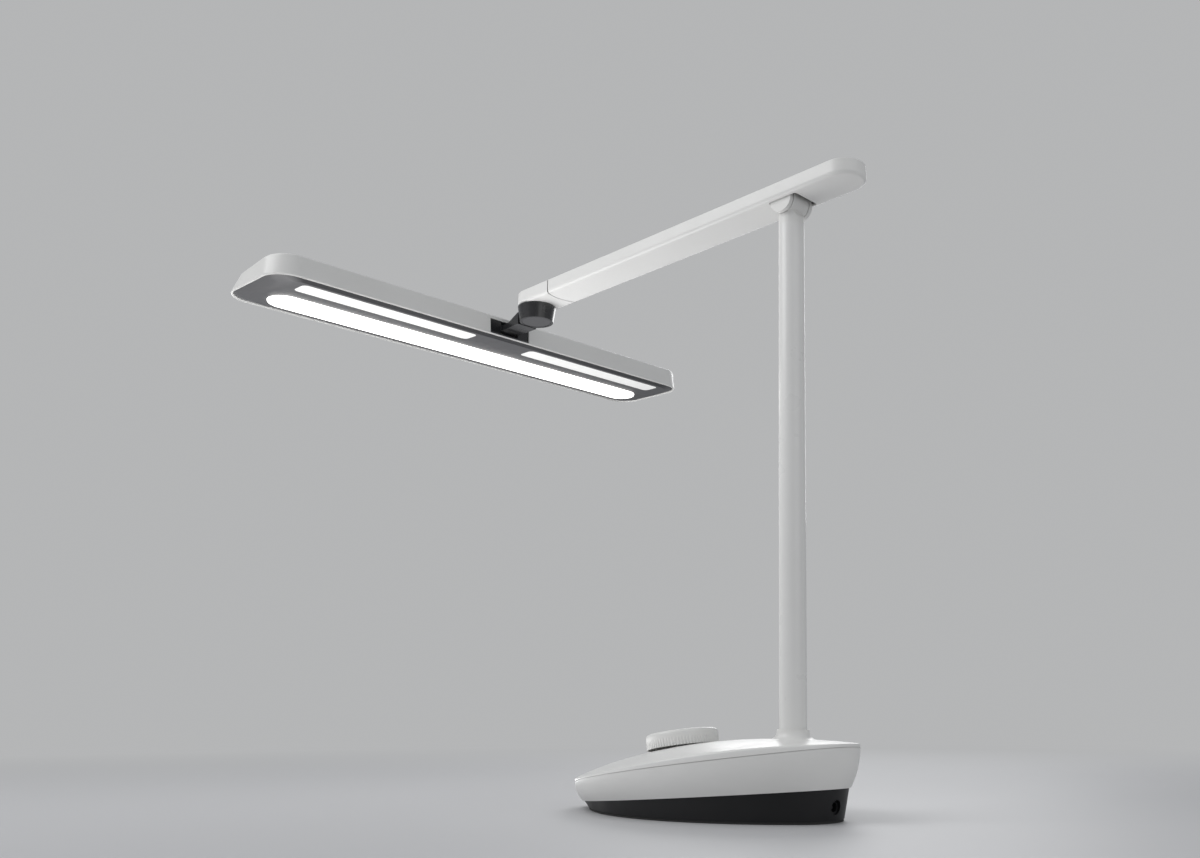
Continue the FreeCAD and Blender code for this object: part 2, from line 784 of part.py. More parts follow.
control_board = cut_all(
    control_board,
    [cylinder(board_screw_radius + slip_gap, board_low, board_top, x, y) for x, y in standoff_spots],
)
save("control_board", control_board)
save("board_screws", *[
    cylinder(standoff_radius, board_top, board_top + 1.4, x, y).fuse(
        cylinder(board_screw_radius, weight_top + 0.3, board_top, x, y)
    )
    for x, y in standoff_spots
])

inlet_body = block(
    -inlet_half_width, inlet_half_width,
    inlet_front, inlet_face - plinth_wall - slip_gap,
    plinth_top, plinth_top + inlet_height,
)
inlet_collar = Part.makeCylinder(
    inlet_collar_radius, plinth_wall + 2 * slip_gap,
    Vector(0, inlet_face - plinth_wall - 2 * slip_gap, inlet_z), BACK,
)
inlet_socket = Part.makeCylinder(
    inlet_socket_radius, inlet_socket_depth, Vector(0, inlet_face - inlet_socket_depth, inlet_z), BACK
)
inlet_pin = Part.makeCylinder(
    inlet_pin_radius, inlet_socket_depth - 1, Vector(0, inlet_face - inlet_socket_depth - 0.5, inlet_z), BACK
)
save("dc_inlet", fuse_all([inlet_body.fuse(inlet_collar).cut(inlet_socket), inlet_pin]))

# ---- Dial and its encoder ----------------------------------------------------------------------
seat_z = -dial_seat_depth
skin_low = seat_z - cover_skin
half_side = encoder_side / 2
encoder_body = fuse_all([
    slab(-half_side, half_side, -half_side, half_side, 1.0, skin_low - encoder_depth, skin_low),
    cylinder(bushing_radius, skin_low, seat_z + bushing_rise),
])
plunger_radius = shaft_radius + 1.2
plunger_top = skin_low - encoder_depth + 3.4
plunger_low = plunger_top - 1.6
encoder_room = cylinder(plunger_radius + pin_gap, plunger_low - dial_travel - turn_gap, plunger_top + turn_gap)
shaft_bore = cylinder(shaft_radius + pin_gap, plunger_low, seat_z + bushing_rise)
save("dial_encoder", on_dial(cut_all(encoder_body, [encoder_room, shaft_bore])))
save("encoder_plunger", on_dial(cylinder(plunger_radius, plunger_low, plunger_top)))
nut = hexagon(encoder_nut_radius, seat_z, seat_z + encoder_nut_height)
save("encoder_nut", on_dial(nut.cut(cylinder(bushing_radius + pin_gap, seat_z, seat_z + encoder_nut_height))))

dial_low = seat_z + dial_lift
dial_top = dial_low + dial_height
dial_inside = dial_top - dial_wall
shaft_low = plunger_top + pin_gap
shaft_top = dial_inside
save("dial_shaft", on_dial(cylinder(shaft_radius, shaft_low, shaft_top)))

dial_body = Part.makeCone(dial_radius, dial_radius - dial_draft, dial_height, Vector(0, 0, dial_low))
top_edge = [edge for edge in dial_body.Edges if abs(edge.BoundBox.ZMin - dial_top) < 0.01]
dial_body = dial_body.makeFillet(dial_top_round, top_edge)
dial_room = cylinder(dial_radius - dial_draft - dial_wall, dial_low, dial_inside)
flutes = []
flute_lean = math.degrees(math.atan(dial_draft / dial_height))
flute_length = dial_height - flute_top_margin
for index in range(flute_count):
    flute = cylinder(flute_radius, dial_low - 1, dial_low + flute_length, dial_radius)
    flute = flute.fuse(Part.makeSphere(flute_radius, Vector(dial_radius, 0, dial_low + flute_length)))
    flute.rotate(Vector(dial_radius, 0, dial_low), BACK, -flute_lean)
    flute.rotate(ORIGIN, UP, 360 * index / flute_count)
    flutes.append(flute)
boss_low = seat_z + bushing_rise + dial_travel + turn_gap
dial_boss = ring(dial_boss_radius, shaft_radius + pin_gap, boss_low, dial_inside)
insert_low = dial_top - insert_thickness
dial_knob = dial_body.cut(dial_room).fuse(dial_boss)
dial_knob = dial_knob.cut(Part.makeCompound(flutes))
dial_knob = dial_knob.cut(cylinder(insert_radius + slip_gap, insert_low, dial_top))
save("dial_knob", on_dial(dial_knob))
save("dial_insert", on_dial(cylinder(insert_radius, insert_low, dial_top - 0.1)))


# ---- Arm: drawn level about the hinge axis, then placed with its droop --------------------------
def on_arm(shape):
    shape.rotate(ORIGIN, RIGHT, arm_droop)
    shape.translate(UP * hub_height)
    return shape


arm_form = stadium(arm_half_width, -arm_reach, arm_back, 0, arm_thickness)
low_edges = [edge for edge in arm_form.Edges if edge.BoundBox.ZMax < 0.01]
arm_form = arm_form.makeFillet(arm_corner, low_edges)
high_edges = [edge for edge in arm_form.Edges if edge.BoundBox.ZMin > arm_thickness - 0.01]
arm_form = arm_form.makeFillet(arm_lid_round, high_edges)
arm_cavity = stadium(arm_half_width - arm_wall, -arm_reach, arm_back, arm_wall, lid_low)
joint_centre = -(arm_reach - cap_length - cap_joint_radius)


def cap_zone(radius):
    """Everything in front of the curved joint between the arm and its end cap."""
    front = block(
        -arm_half_width - 1, arm_half_width + 1,
        -arm_reach - arm_half_width - 1, joint_centre,
        -1, arm_thickness + 1,
    )
    return front.cut(cylinder(radius, -2, arm_thickness + 2, 0, joint_centre))


arm_side = cap_zone(cap_joint_radius - cap_gap / 2)
cap_side = cap_zone(cap_joint_radius + cap_gap / 2)
lower_zone = block(
    -arm_half_width - 1, arm_half_width + 1,
    -arm_reach - arm_half_width - 1, arm_back + arm_half_width + 1, -1, lid_low,
)
recess = slab(-recess_half_width, recess_half_width, -recess_front, recess_back, recess_corner, -1, arm_wall + 1)
plate_low = arm_wall + pad_rise
plate_top = plate_low + rail_plate
arm_lead_height = plate_top + lead_radius + slip_gap
rail_outer = ear_outer
rail_inner = rail_outer - rail_thickness
screw_back_y = (rail_back + rail_plate_back) / 2
screw_front_y = -(rail_front + rail_plate_front) / 2
screw_x = rail_inner - frame_head_radius - 1.2
frame_spots = [(side * screw_x, y) for side in (-1, 1) for y in (screw_back_y, screw_front_y)]
floor_pads = [
    block(-rail_outer, rail_outer, rail_plate_back, rail_back, arm_wall / 2, plate_low),
    block(-rail_outer, rail_outer, -rail_front, -rail_plate_front, arm_wall / 2, plate_low),
]
frame_pilots = [
    cylinder(frame_screw_radius + pin_gap, arm_wall + slip_gap, plate_low, x, y) for x, y in frame_spots
]
arm_body = arm_form.common(lower_zone).cut(arm_cavity)
arm_body = fuse_all([arm_body] + floor_pads)
arm_body = cut_all(arm_body, [arm_side, recess] + frame_pilots)
save("arm_body", on_arm(arm_body))

lid_lip = stadium(
    arm_half_width - arm_wall - slip_gap, -arm_reach, arm_back, lid_low - 1.0, lid_low
).cut(stadium(arm_half_width - arm_wall - slip_gap - 1.2, -arm_reach, arm_back, lid_low - 1.0, lid_low))
lip_front = joint_centre - cap_joint_radius + spigot_overlap + 4
lid_lip = lid_lip.cut(block(-arm_half_width, arm_half_width, -2 * arm_reach, lip_front, 0, arm_thickness))
lid_lip = lid_lip.cut(block(
    -arm_half_width, arm_half_width, -rail_front - 1, rail_back + 1, 0, arm_thickness
))
arm_top_cover = arm_form.cut(lower_zone).cut(arm_side)
save("arm_top_cover", on_arm(fuse_all([arm_top_cover, lid_lip])))

# ---- Hinge frame: two round ears under the arm, on rails that are screwed into it ----------------
frame_sides = []
for side in (-1, 1):
    ear_left = min(side * ear_inner, side * ear_outer)
    ear_right = max(side * ear_inner, side * ear_outer)
    rail_left = min(side * rail_inner, side * rail_outer)
    rail_right = max(side * rail_inner, side * rail_outer)
    frame_sides.append(crosswise(hub_radius, ear_left, ear_right))
    frame_sides.append(block(rail_left, rail_right, -rail_front, rail_back, plate_low, hub_radius - slip_gap))
hinge_frame = fuse_all(frame_sides + [
    block(-rail_outer, rail_outer, rail_plate_back, rail_back, plate_low, plate_top),
    block(-rail_outer, rail_outer, -rail_front, -rail_plate_front, plate_low, plate_top),
])
cap_seat = ear_outer - ear_cap_thickness
hinge_frame = cut_all(
    hinge_frame,
    [crosswise(hinge_pin_radius, -ear_outer, ear_outer)]
    + [crosswise(ear_cap_radius, left, left + ear_cap_thickness) for left in (-ear_outer, cap_seat)]
    + [cylinder(frame_screw_radius + slip_gap, plate_low, plate_top, x, y) for x, y in frame_spots],
)
save("hinge_frame", on_arm(hinge_frame))
save("hinge_pin", on_arm(crosswise(hinge_pin_radius, -cap_seat, cap_seat)))
save(
    "hinge_ear_caps",
    on_arm(crosswise(ear_cap_radius, -ear_outer, -cap_seat)),
    on_arm(crosswise(ear_cap_radius, cap_seat, ear_outer)),
)
washer_inner = hub_half_length + pin_gap
washer_outer = washer_inner + hinge_washer
hinge_washers = [
    on_arm(crosswise(hub_radius - 1, left, left + hinge_washer).cut(
        crosswise(hinge_pin_radius + pin_gap, left, left + hinge_washer)
    ))
    for left in (-washer_outer, washer_inner)
]
save("hinge_washers", *hinge_washers)
save("frame_screws", *[
    on_arm(cylinder(frame_head_radius, plate_top, plate_top + frame_head_height, x, y).fuse(
        cylinder(frame_screw_radius, arm_wall + 2 * slip_gap, plate_top, x, y)
    ))
    for x, y in frame_spots
])

# ---- End cap of the arm and the black spigot in its joint ----------------------------------------
spigot_middle = joint_centre - cap_joint_radius + (cap_joint_radius - math.sqrt(
    cap_joint_radius ** 2 - arm_half_width ** 2
)) / 2
spigot_back = spigot_middle + spigot_overlap
spigot_front = spigot_middle - spigot_overlap
swivel_bore = cylinder(swivel_bolt_radius + pin_gap, -1, arm_thickness, 0, -arm_reach)
cap_cavity = stadium(arm_half_width - arm_wall, -arm_reach, arm_back, arm_wall, lid_low)
cap_boss = cylinder(swivel_boss_radius, arm_wall / 2, arm_wall + swivel_boss_rise, 0, -arm_reach)
arm_end_cap = arm_form.common(cap_side).cut(cap_cavity)
arm_end_cap = fuse_all([arm_end_cap, cap_boss]).cut(swivel_bore)
save("arm_end_cap", on_arm(arm_end_cap))

spigot_outer = arm_half_width - arm_wall - slip_gap
spigot_core = block(
    -spigot_outer, spigot_outer, spigot_front, spigot_back, arm_wall + slip_gap, lid_low - slip_gap
)
joint_rib = stadium(
    arm_half_width - cap_gap_depth, -arm_reach, arm_back, cap_gap_depth, arm_thickness - cap_gap_depth
)
joint_rib = joint_rib.common(arm_side).cut(cap_zone(cap_joint_radius + cap_gap / 2 - pin_gap))
joint_rib = joint_rib.cut(cap_zone(cap_joint_radius + cap_gap / 2 - pin_gap))
cap_spigot = fuse_all([spigot_core, joint_rib.cut(cylinder(
    cap_joint_radius - cap_gap / 2 + pin_gap, -1, arm_thickness + 1, 0, joint_centre
))])
cap_spigot = cap_spigot.cut(block(
    -spigot_outer + spigot_wall, spigot_outer - spigot_wall, spigot_front - 1, spigot_back + 1,
    arm_lead_height - lead_radius - slip_gap, arm_lead_height + lead_radius + slip_gap,
))
save("cap_spigot", on_arm(cap_spigot))

arm_lead_back = -recess_front - 2
arm_lead_front = -(arm_reach - swivel_washer_radius - 2)
save("arm_lead", on_arm(Part.makeCylinder(
    lead_radius, arm_lead_back - arm_lead_front, Vector(0, arm_lead_front, arm_lead_height), BACK
)))

# ---- Swivel drum with its tongue ------------------------------------------------------------------
drum_profile = Part.Face(Part.makePolygon([
    Vector(swivel_bolt_radius + pin_gap, 0, -turn_gap),
    Vector(drum_top_radius, 0, -turn_gap),
    Vector(drum_low_radius, 0, -drum_height),
    Vector(drum_cap_radius + slip_gap, 0, -drum_height),
    Vector(drum_cap_radius + slip_gap, 0, -drum_height + drum_cap_recess + drum_cap_thickness),
    Vector(drum_bore_radius, 0, -drum_height + drum_cap_recess + drum_cap_thickness),
    Vector(drum_bore_radius, 0, -drum_roof),
    Vector(swivel_bolt_radius + pin_gap, 0, -drum_roof),
    Vector(swivel_bolt_radius + pin_gap, 0, -turn_gap),
]))
drum = drum_profile.revolve(ORIGIN, UP, 360)
drum.translate(BACK * -arm_reach)
tongue_root = -(arm_reach + drum_cap_radius + 1)
gusset_front = (tongue_root + eye_y) / 2
tongue_side = Part.Face(Part.makePolygon([
    Vector(0, tongue_root, -tongue_low),
    Vector(0, eye_y, -tongue_low),
    Vector(0, eye_y, -tongue_high),
    Vector(0, gusset_front, -tongue_high),
    Vector(0, -(arm_reach + drum_low_radius), -gusset_high),
    Vector(0, tongue_root, -gusset_high),
    Vector(0, tongue_root, -tongue_low),
])).extrude(RIGHT * (2 * tongue_root_half_width))
tongue_side.translate(RIGHT * -tongue_root_half_width)
tongue_plan = Part.Face(Part.makePolygon([
    Vector(-tongue_root_half_width, tongue_root, -tongue_low),
    Vector(-tongue_tip_half_width, eye_y, -tongue_low),
    Vector(tongue_tip_half_width, eye_y, -tongue_low),
    Vector(tongue_root_half_width, tongue_root, -tongue_low),
    Vector(-tongue_root_half_width, tongue_root, -tongue_low),
])).extrude(UP * tongue_low)
drum_bore = cylinder(drum_cap_radius + slip_gap, -drum_height - 1, -drum_roof, 0, -arm_reach)
tongue = tongue_side.common(tongue_plan).cut(drum_bore)
eye = crosswise(eye_radius, -eye_half_length, eye_half_length, eye_y, eye_z)
tip_clear = block(
    -tongue_root_half_width, tongue_root_half_width, eye_y - eye_radius, eye_y, -tongue_low - 1, 0
)
tongue = tongue.cut(tip_clear)
for left in (-tongue_root_half_width - 1, eye_half_length):
    right = left + tongue_root_half_width + 1 - eye_half_length
    tongue = tongue.cut(crosswise(eye_radius + turn_gap, left, right, eye_y, eye_z))
swivel_drum = fuse_all([drum, tongue, eye])
swivel_drum = swivel_drum.cut(
    crosswise(tilt_pin_radius + pin_gap, -eye_half_length, eye_half_length, eye_y, eye_z)
)
save("swivel_drum", on_arm(swivel_drum))
cap_low = -drum_height + drum_cap_recess
save("drum_cap", on_arm(cylinder(drum_cap_radius, cap_low, cap_low + drum_cap_thickness, 0, -arm_reach)))

boss_top = arm_wall + swivel_boss_rise
washer_top = boss_top + swivel_washer
spring_top = washer_top + spring_washer
nut_top = spring_top + swivel_nut_height
save("swivel_bolt", on_arm(fuse_all([
    hexagon(swivel_head_radius, -drum_roof - swivel_head_height, -drum_roof, 0, -arm_reach),
    cylinder(swivel_bolt_radius, -drum_roof, nut_top, 0, -arm_reach),
])))
save(
    "swivel_washers",
    on_arm(ring(swivel_washer_radius, swivel_bolt_radius + pin_gap, boss_top, washer_top, 0, -arm_reach)),
    on_arm(ring(swivel_nut_radius, swivel_bolt_radius + pin_gap, washer_top, spring_top, 0, -arm_reach)),
)
swivel_nut = hexagon(swivel_nut_radius, spring_top, nut_top, 0, -arm_reach)
save("swivel_nut", on_arm(swivel_nut.cut(
    cylinder(swivel_bolt_radius + pin_gap, spring_top, nut_top, 0, -arm_reach)
)))

# ---- Head cover ------------------------------------------------------------------------------------


def head_solid(inset, low, roof):
    """The head's form from a level near the rim up to its sloping top, set in on every side."""
    high = rim_height + head_back_rise + 1
    full = head_back_rise + 1
    start = (low - rim_height) / full

    def section(level, z):
        return rounded_rectangle(
            -head_half_length + inset + head_end_tuck * level,
            head_half_length - inset - head_end_tuck * level,
            front_y + inset + head_front_tuck * level,
            rim_y - inset - head_back_tuck * level,
            head_front_corner - inset,
            head_back_corner - inset,
            z,
        )

    body = Part.makeLoft([section(start, low), section(1.0, high)], True)
    slope = math.degrees(math.atan((head_back_rise - head_front_rise) / head_depth))
    above = block(-2 * head_half_length, 2 * head_half_length, -2 * head_depth, head_depth, 0, 2 * full)
    above.rotate(ORIGIN, RIGHT, slope)
    above.translate(Vector(0, rim_y, rim_height + head_back_rise - roof))
    body = body.cut(above)
    edge_round = head_edge_round - roof
    top_face = max(body.Faces, key=lambda face: face.CenterOfMass.z)
    return body.makeFillet(edge_round, top_face.Edges)


def head_slab(inset, low, high):
    """Plate with the rim's plan, set in on every side."""
    outline = rounded_rectangle(
        -head_half_length + inset, head_half_length - inset, front_y + inset, rim_y - inset,
        head_front_corner - inset, head_back_corner - inset, low,
    )
    return Part.Face(outline).extrude(UP * (high - low))


panel_low = rim_height + panel_recess
panel_top = panel_low + panel_thickness
floor_low = panel_low - pan_drop
floor_top = floor_low + panel_thickness
panel_room = head_slab(rim_line, rim_height, panel_top)
head_shell = head_solid(0, rim_height, 0)
head_cavity = head_solid(rim_line + ledge_width, panel_top - 1, head_wall)
notch_top = rim_height + notch_lip
notch = block(
    -notch_half_width, notch_half_width, rim_y - notch_depth, rim_y + 1, rim_height - 1, notch_top
)
spreader_low = floor_top + board_lift + light_board_thickness
spreader_top = spreader_low + spreader_thickness
head_screw_spots = [
    (side * x, spreader_screw_y)
    for side in (-1, 1)
    for x in (spreader_screw_inner, head_half_length - spreader_screw_margin)
]
foot_low = panel_top + block_foot_rise
foot_top = foot_low + block_foot_thickness
foot_screw_x = notch_half_width - block_screw_side
foot_spots = [(side * foot_screw_x, rim_y - notch_depth - block_screw_ahead) for side in (-1, 1)]
boss_limit = head_solid(head_wall / 2, panel_top, head_wall / 2)
head_bosses = [
    cylinder(head_boss_radius, low, rim_height + head_back_rise, x, y).common(boss_limit)
    for spots, low in ((head_screw_spots, spreader_top), (foot_spots, foot_top))
    for x, y in spots
]
head_pilots = [
    cylinder(head_screw_radius + pin_gap, low, low + depth + slip_gap, x, y)
    for spots, low, depth in (
        (head_screw_spots, spreader_top, spreader_screw_depth), (foot_spots, foot_top, block_screw_depth)
    )
    for x, y in spots
]
head_cover = fuse_all([head_shell.cut(head_cavity)] + head_bosses)
head_cover = cut_all(head_cover, [panel_room, notch] + head_pilots)
save("head_cover", head_cover)

# ---- Panel and diffusers ----------------------------------------------------------------------------
strip_low = floor_low - strip_proud
flange_high = floor_top + flange_thickness
panel_edge = rim_line + slip_gap


def strip_slab(margin, low, high):
    """Main diffuser's plan, with half-round ends."""
    corner = strip_width / 2 + margin - 0.01
    return slab(
        -strip_half_length - margin, strip_half_length + margin,
        strip_y_front - margin, strip_y_back + margin, corner, low, high,
    )


def slot_slab(side, margin, low, high):
    """Side diffuser's plan, right (+1) or left (-1) of the hinge."""
    left = min(side * slot_inner, side * slot_outer)
    right = max(side * slot_inner, side * slot_outer)
    return slab(
        left - margin, right + margin, slot_y_front - margin, slot_y_back + margin,
        slot_corner + margin, low, high,
    )


def pan_solid(edge, margin, low):
    """Tapering bowl under the rim, from the given edge down to the pan's floor."""
    def section(side, front, back, z):
        return rounded_rectangle(
            -head_half_length + side, head_half_length - side, front_y + front, rim_y - back,
            head_front_corner - panel_edge, head_back_corner - panel_edge, z,
        )

    return Part.makeLoft([
        section(edge, edge, edge, low + pan_drop),
        section(pan_side + margin, pan_front + margin, pan_back + margin, low),
    ], True)


head_panel = fuse_all([head_slab(panel_edge, panel_low, panel_top), pan_solid(panel_edge, 0, floor_low)])
head_panel = cut_all(head_panel, [
    pan_solid(panel_edge + pan_lip, pan_wall, floor_top),
    strip_slab(slip_gap, floor_low, floor_top),
    slot_slab(1, slip_gap, floor_low, floor_top),
    slot_slab(-1, slip_gap, floor_low, floor_top),
])
save("head_panel", head_panel)

main_lens = strip_slab(0, strip_low, flange_high)
lens_edges = [edge for edge in main_lens.Edges if edge.BoundBox.ZMax < strip_low + 0.01]
main_lens = main_lens.makeFillet(strip_proud * 0.8, lens_edges)
main_lens = fuse_all([main_lens, strip_slab(flange_margin, floor_top, flange_high)])
save("main_diffuser", main_lens.cut(strip_slab(-lens_wall, strip_low + lens_wall, flange_high + 1)))
for name, side in (("side_diffuser_right", 1), ("side_diffuser_left", -1)):
    save(name, fuse_all([
        slot_slab(side, 0, floor_low + 0.3, flange_high),
        slot_slab(side, flange_margin, floor_top, flange_high),
    ]))

# ---- Light boards and heat spreader -------------------------------------------------------------------
light_board_low = floor_top + board_lift


def light_board(left, right, front, back, chip_count):
    """Strip of board with a row of light chips on its underside."""
    pieces = [block(left, right, front, back, light_board_low, spreader_low)]
    pitch = (right - left) / chip_count
    middle = (front + back) / 2
    for index in range(chip_count):
        centre = left + pitch * (index + 0.5)
        pieces.append(block(
            centre - chip_size / 2, centre + chip_size / 2, middle - chip_size / 2, middle + chip_size / 2,
            light_board_low - chip_height, light_board_low,
        ))
    return fuse_all(pieces)


strip_margin = strip_width / 4
slot_margin = slot_width / 4
save("main_light_board", light_board(
    -strip_half_length + strip_margin, strip_half_length - strip_margin,
    strip_y_front + strip_margin, strip_y_back - strip_margin, strip_chip_count,
))
save(
    "side_light_boards",
    light_board(
        slot_inner + slot_margin, slot_outer - slot_margin,
        slot_y_front + slot_margin, slot_y_back - slot_margin, slot_chip_count,
    ),
    light_board(
        -slot_outer + slot_margin, -slot_inner - slot_margin,
        slot_y_front + slot_margin, slot_y_back - slot_margin, slot_chip_count,
    ),
)
spreader_half_length = head_half_length - spreader_end_margin
relief_half_width = notch_half_width + spreader_relief
relief_front = rim_y - notch_depth - block_foot_length - slip_gap
heat_spreader = slab(
    -spreader_half_length, spreader_half_length, front_y + spreader_front_margin, rim_y - spreader_back,
    slot_corner, spreader_low, spreader_top,
)
heat_spreader = heat_spreader.cut(block(
    -relief_half_width, relief_half_width, relief_front, rim_y, spreader_low - 1, spreader_top + 1
))
heat_spreader = cut_all(
    heat_spreader,
    [cylinder(head_screw_radius + slip_gap, spreader_low, spreader_top, x, y) for x, y in head_screw_spots],
)
save("heat_spreader", heat_spreader)
save("spreader_screws", *[
    cylinder(head_screw_head_radius, spreader_low - spreader_head_height, spreader_low, x, y).fuse(
        cylinder(head_screw_radius, spreader_low, spreader_top + spreader_screw_depth, x, y)
    )
    for x, y in head_screw_spots
])

# ---- Head hinge ----------------------------------------------------------------------------------------
block_back = rim_y - block_back_step
block_front = rim_y - notch_depth + slip_gap
block_low = panel_top
block_high = notch_top - slip_gap
slot_half = eye_half_length + tilt_washer + 2 * pin_gap
pin_half = notch_half_width - 2
hinge_block = block(
    -notch_half_width + slip_gap, notch_half_width - slip_gap, block_front, block_back, block_low, block_high
)
foot_half_width = notch_half_width - block_foot_side
block_foot = block(
    -foot_half_width, foot_half_width,
    block_front - block_foot_length, block_front, foot_low, foot_top,
)
hinge_block = cut_all(fuse_all([hinge_block, block_foot]), [
    block(-slot_half, slot_half, tilt_y - block_slot_front, rim_y, block_low - 1, block_high + 1),
    crosswise(tilt_pin_radius + pin_gap, -pin_half, pin_half, tilt_y, tilt_axis_height),
] + [cylinder(head_screw_radius + slip_gap, foot_low, foot_top, x, y) for x, y in foot_spots])
save("hinge_block", hinge_block)
save("hinge_block_screws", *[
    cylinder(head_screw_head_radius, foot_low - block_head_height, foot_low, x, y).fuse(
        cylinder(head_screw_radius, foot_low, foot_top + block_screw_depth, x, y)
    )
    for x, y in foot_spots
])
save("tilt_pin", crosswise(tilt_pin_radius, -pin_half + 0.2, pin_half - 0.2, tilt_y, tilt_axis_height))
tilt_inner = eye_half_length + pin_gap
save("tilt_washers", *[
    crosswise(eye_radius - 0.4, left, left + tilt_washer, tilt_y, tilt_axis_height).cut(
        crosswise(tilt_pin_radius + pin_gap, left, left + tilt_washer, tilt_y, tilt_axis_height)
    )
    for left in (-tilt_inner - tilt_washer, tilt_inner)
])

# ---- Joint axes for the assembly ---------------------------------------------------------------------
swivel_axis = Rotation(RIGHT, arm_droop).multVec(UP)
swivel_point = Rotation(RIGHT, arm_droop).multVec(Vector(0, -arm_reach, 0)) + UP * hub_height
print("arm tilt axis through", (0, 0, hub_height))
print("swivel axis through", tuple(round(v, 3) for v in swivel_point), tuple(round(v, 5) for v in swivel_axis))
print("head tilt axis through", (0, round(tilt_y, 3), tilt_axis_height))
print("dial axis through", tuple(crown_dial), tuple(round(v, 5) for v in dial_normal), round(dial_tilt, 3))
print("inlet centre", (0, round(inlet_face, 3), round(inlet_z, 3)), "base half width", round(half_width, 2))
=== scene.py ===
# %% [markdown]
# # A desk lamp with a long swivelling light head
# The lamp stands on a wedge-shaped base with a fluted dial. A slim post carries a flat arm, and the
# long light head hangs under the arm's end. Every solid already exists in the CAD model, at its real
# size in metres. This lesson loads those solids, gives each one the finish of the real material, and
# adds the fine forms that a visitor's eye looks for: rounded flutes, screw heads, ribbed light covers
# and the like.

# %% Load the CAD model
import json
import math

import bpy
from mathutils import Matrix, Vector


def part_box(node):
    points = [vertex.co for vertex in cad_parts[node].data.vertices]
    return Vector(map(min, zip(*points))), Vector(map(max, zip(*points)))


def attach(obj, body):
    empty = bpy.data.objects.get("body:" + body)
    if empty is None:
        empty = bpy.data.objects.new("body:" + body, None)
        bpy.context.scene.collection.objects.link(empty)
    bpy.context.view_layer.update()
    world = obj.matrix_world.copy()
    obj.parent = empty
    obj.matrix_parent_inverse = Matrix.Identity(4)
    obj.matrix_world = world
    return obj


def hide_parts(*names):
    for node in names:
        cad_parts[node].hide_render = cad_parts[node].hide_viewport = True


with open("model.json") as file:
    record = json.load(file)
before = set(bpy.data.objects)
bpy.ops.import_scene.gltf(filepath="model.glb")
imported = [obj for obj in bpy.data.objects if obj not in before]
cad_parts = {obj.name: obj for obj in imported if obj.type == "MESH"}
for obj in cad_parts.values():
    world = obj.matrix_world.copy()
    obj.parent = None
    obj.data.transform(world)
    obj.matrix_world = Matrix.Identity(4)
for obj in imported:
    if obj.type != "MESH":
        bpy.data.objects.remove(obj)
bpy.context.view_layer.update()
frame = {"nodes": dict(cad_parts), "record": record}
nodes = frame["nodes"]
MM = 0.001

# %% [markdown]
# ## The camera
# The photograph was taken from low down behind the lamp's right-hand side, looking slightly upwards.
# The place and the lens come from the picture's own geometry: the upright post, the arm's parallel
# edges and the level head. The lamp stood right of the picture's optical centre, so the camera keeps
# that framing with a small shift instead of turning.

# %% Camera at the photograph's viewing angle
CAMERA_PLACE = (0.6245, 0.5159, 0.0709)
CAMERA_HEADING = 130.34      # degrees from +Y, turning left
CAMERA_PITCH = 13.61         # degrees above the horizon
CAMERA_LENS = 34.2           # millimetres, on a sensor that is 36 mm wide
CAMERA_SHIFT = (-0.1475, 0.006)
camera_data = bpy.data.cameras.new("photo_camera")
camera_data.lens = CAMERA_LENS
camera_data.sensor_width = 36.0
camera_data.shift_x, camera_data.shift_y = CAMERA_SHIFT
camera_data.clip_start = 0.01
camera_data.clip_end = 50.0
camera = bpy.data.objects.new("photo_camera", camera_data)
bpy.context.scene.collection.objects.link(camera)
camera.location = CAMERA_PLACE
camera.rotation_euler = (math.radians(90 + CAMERA_PITCH), 0, math.radians(CAMERA_HEADING))
bpy.context.scene.camera = camera
bpy.context.scene.view_settings.view_transform = "Standard"
print("camera", camera.location[:], "lens", camera_data.lens)

# %% [markdown]
# ## Floor and light
# A pale floor and large soft lamps show a white object best: the shape is read from gentle shading, so
# no lamp may be so strong that the white plastic turns flat. The backdrop is one pale grey that only
# the camera's own rays see; everything else gets a weaker and cooler light from the world. Far from the
# lamp the floor fades into the same grey. One more soft lamp lies on the floor and faces up, for the
# light that a desk sends back.


# %% Helpers that choose what the operators act on
def deselect():
    """Switch to object mode and clear the selection, because operators act on all that is selected."""
    if bpy.context.object and bpy.context.object.mode != "OBJECT":
        bpy.ops.object.mode_set(mode="OBJECT")
    bpy.ops.object.select_all(action="DESELECT")


def select_only(piece):
    """Make this piece the only selected one and the active one."""
    deselect()
    piece.select_set(True)
    bpy.context.view_layer.objects.active = piece


# %% Floor
FLOOR_SIDE = 12
FLOOR_LEVEL = -0.0002        # a little under the rubber foot, so the two faces don't meet
FLOOR_COLOUR = (0.60, 0.60, 0.61, 1)
BACKDROP_COLOUR = (0.46, 0.465, 0.47, 1)
FADE_START = 0.35            # metres from the base
FADE_END = 1.8
deselect()
bpy.ops.mesh.primitive_plane_add(size=FLOOR_SIDE, location=(0, 0, FLOOR_LEVEL))
floor = bpy.context.object
floor.name = "floor"
floor_paint = bpy.data.materials.new("floor_paint")
floor_paint.use_nodes = True
floor_shader = floor_paint.node_tree.nodes["Principled BSDF"]
floor_shader.inputs["Base Color"].default_value = FLOOR_COLOUR
floor_shader.inputs["Roughness"].default_value = 0.55
floor.data.materials.append(floor_paint)


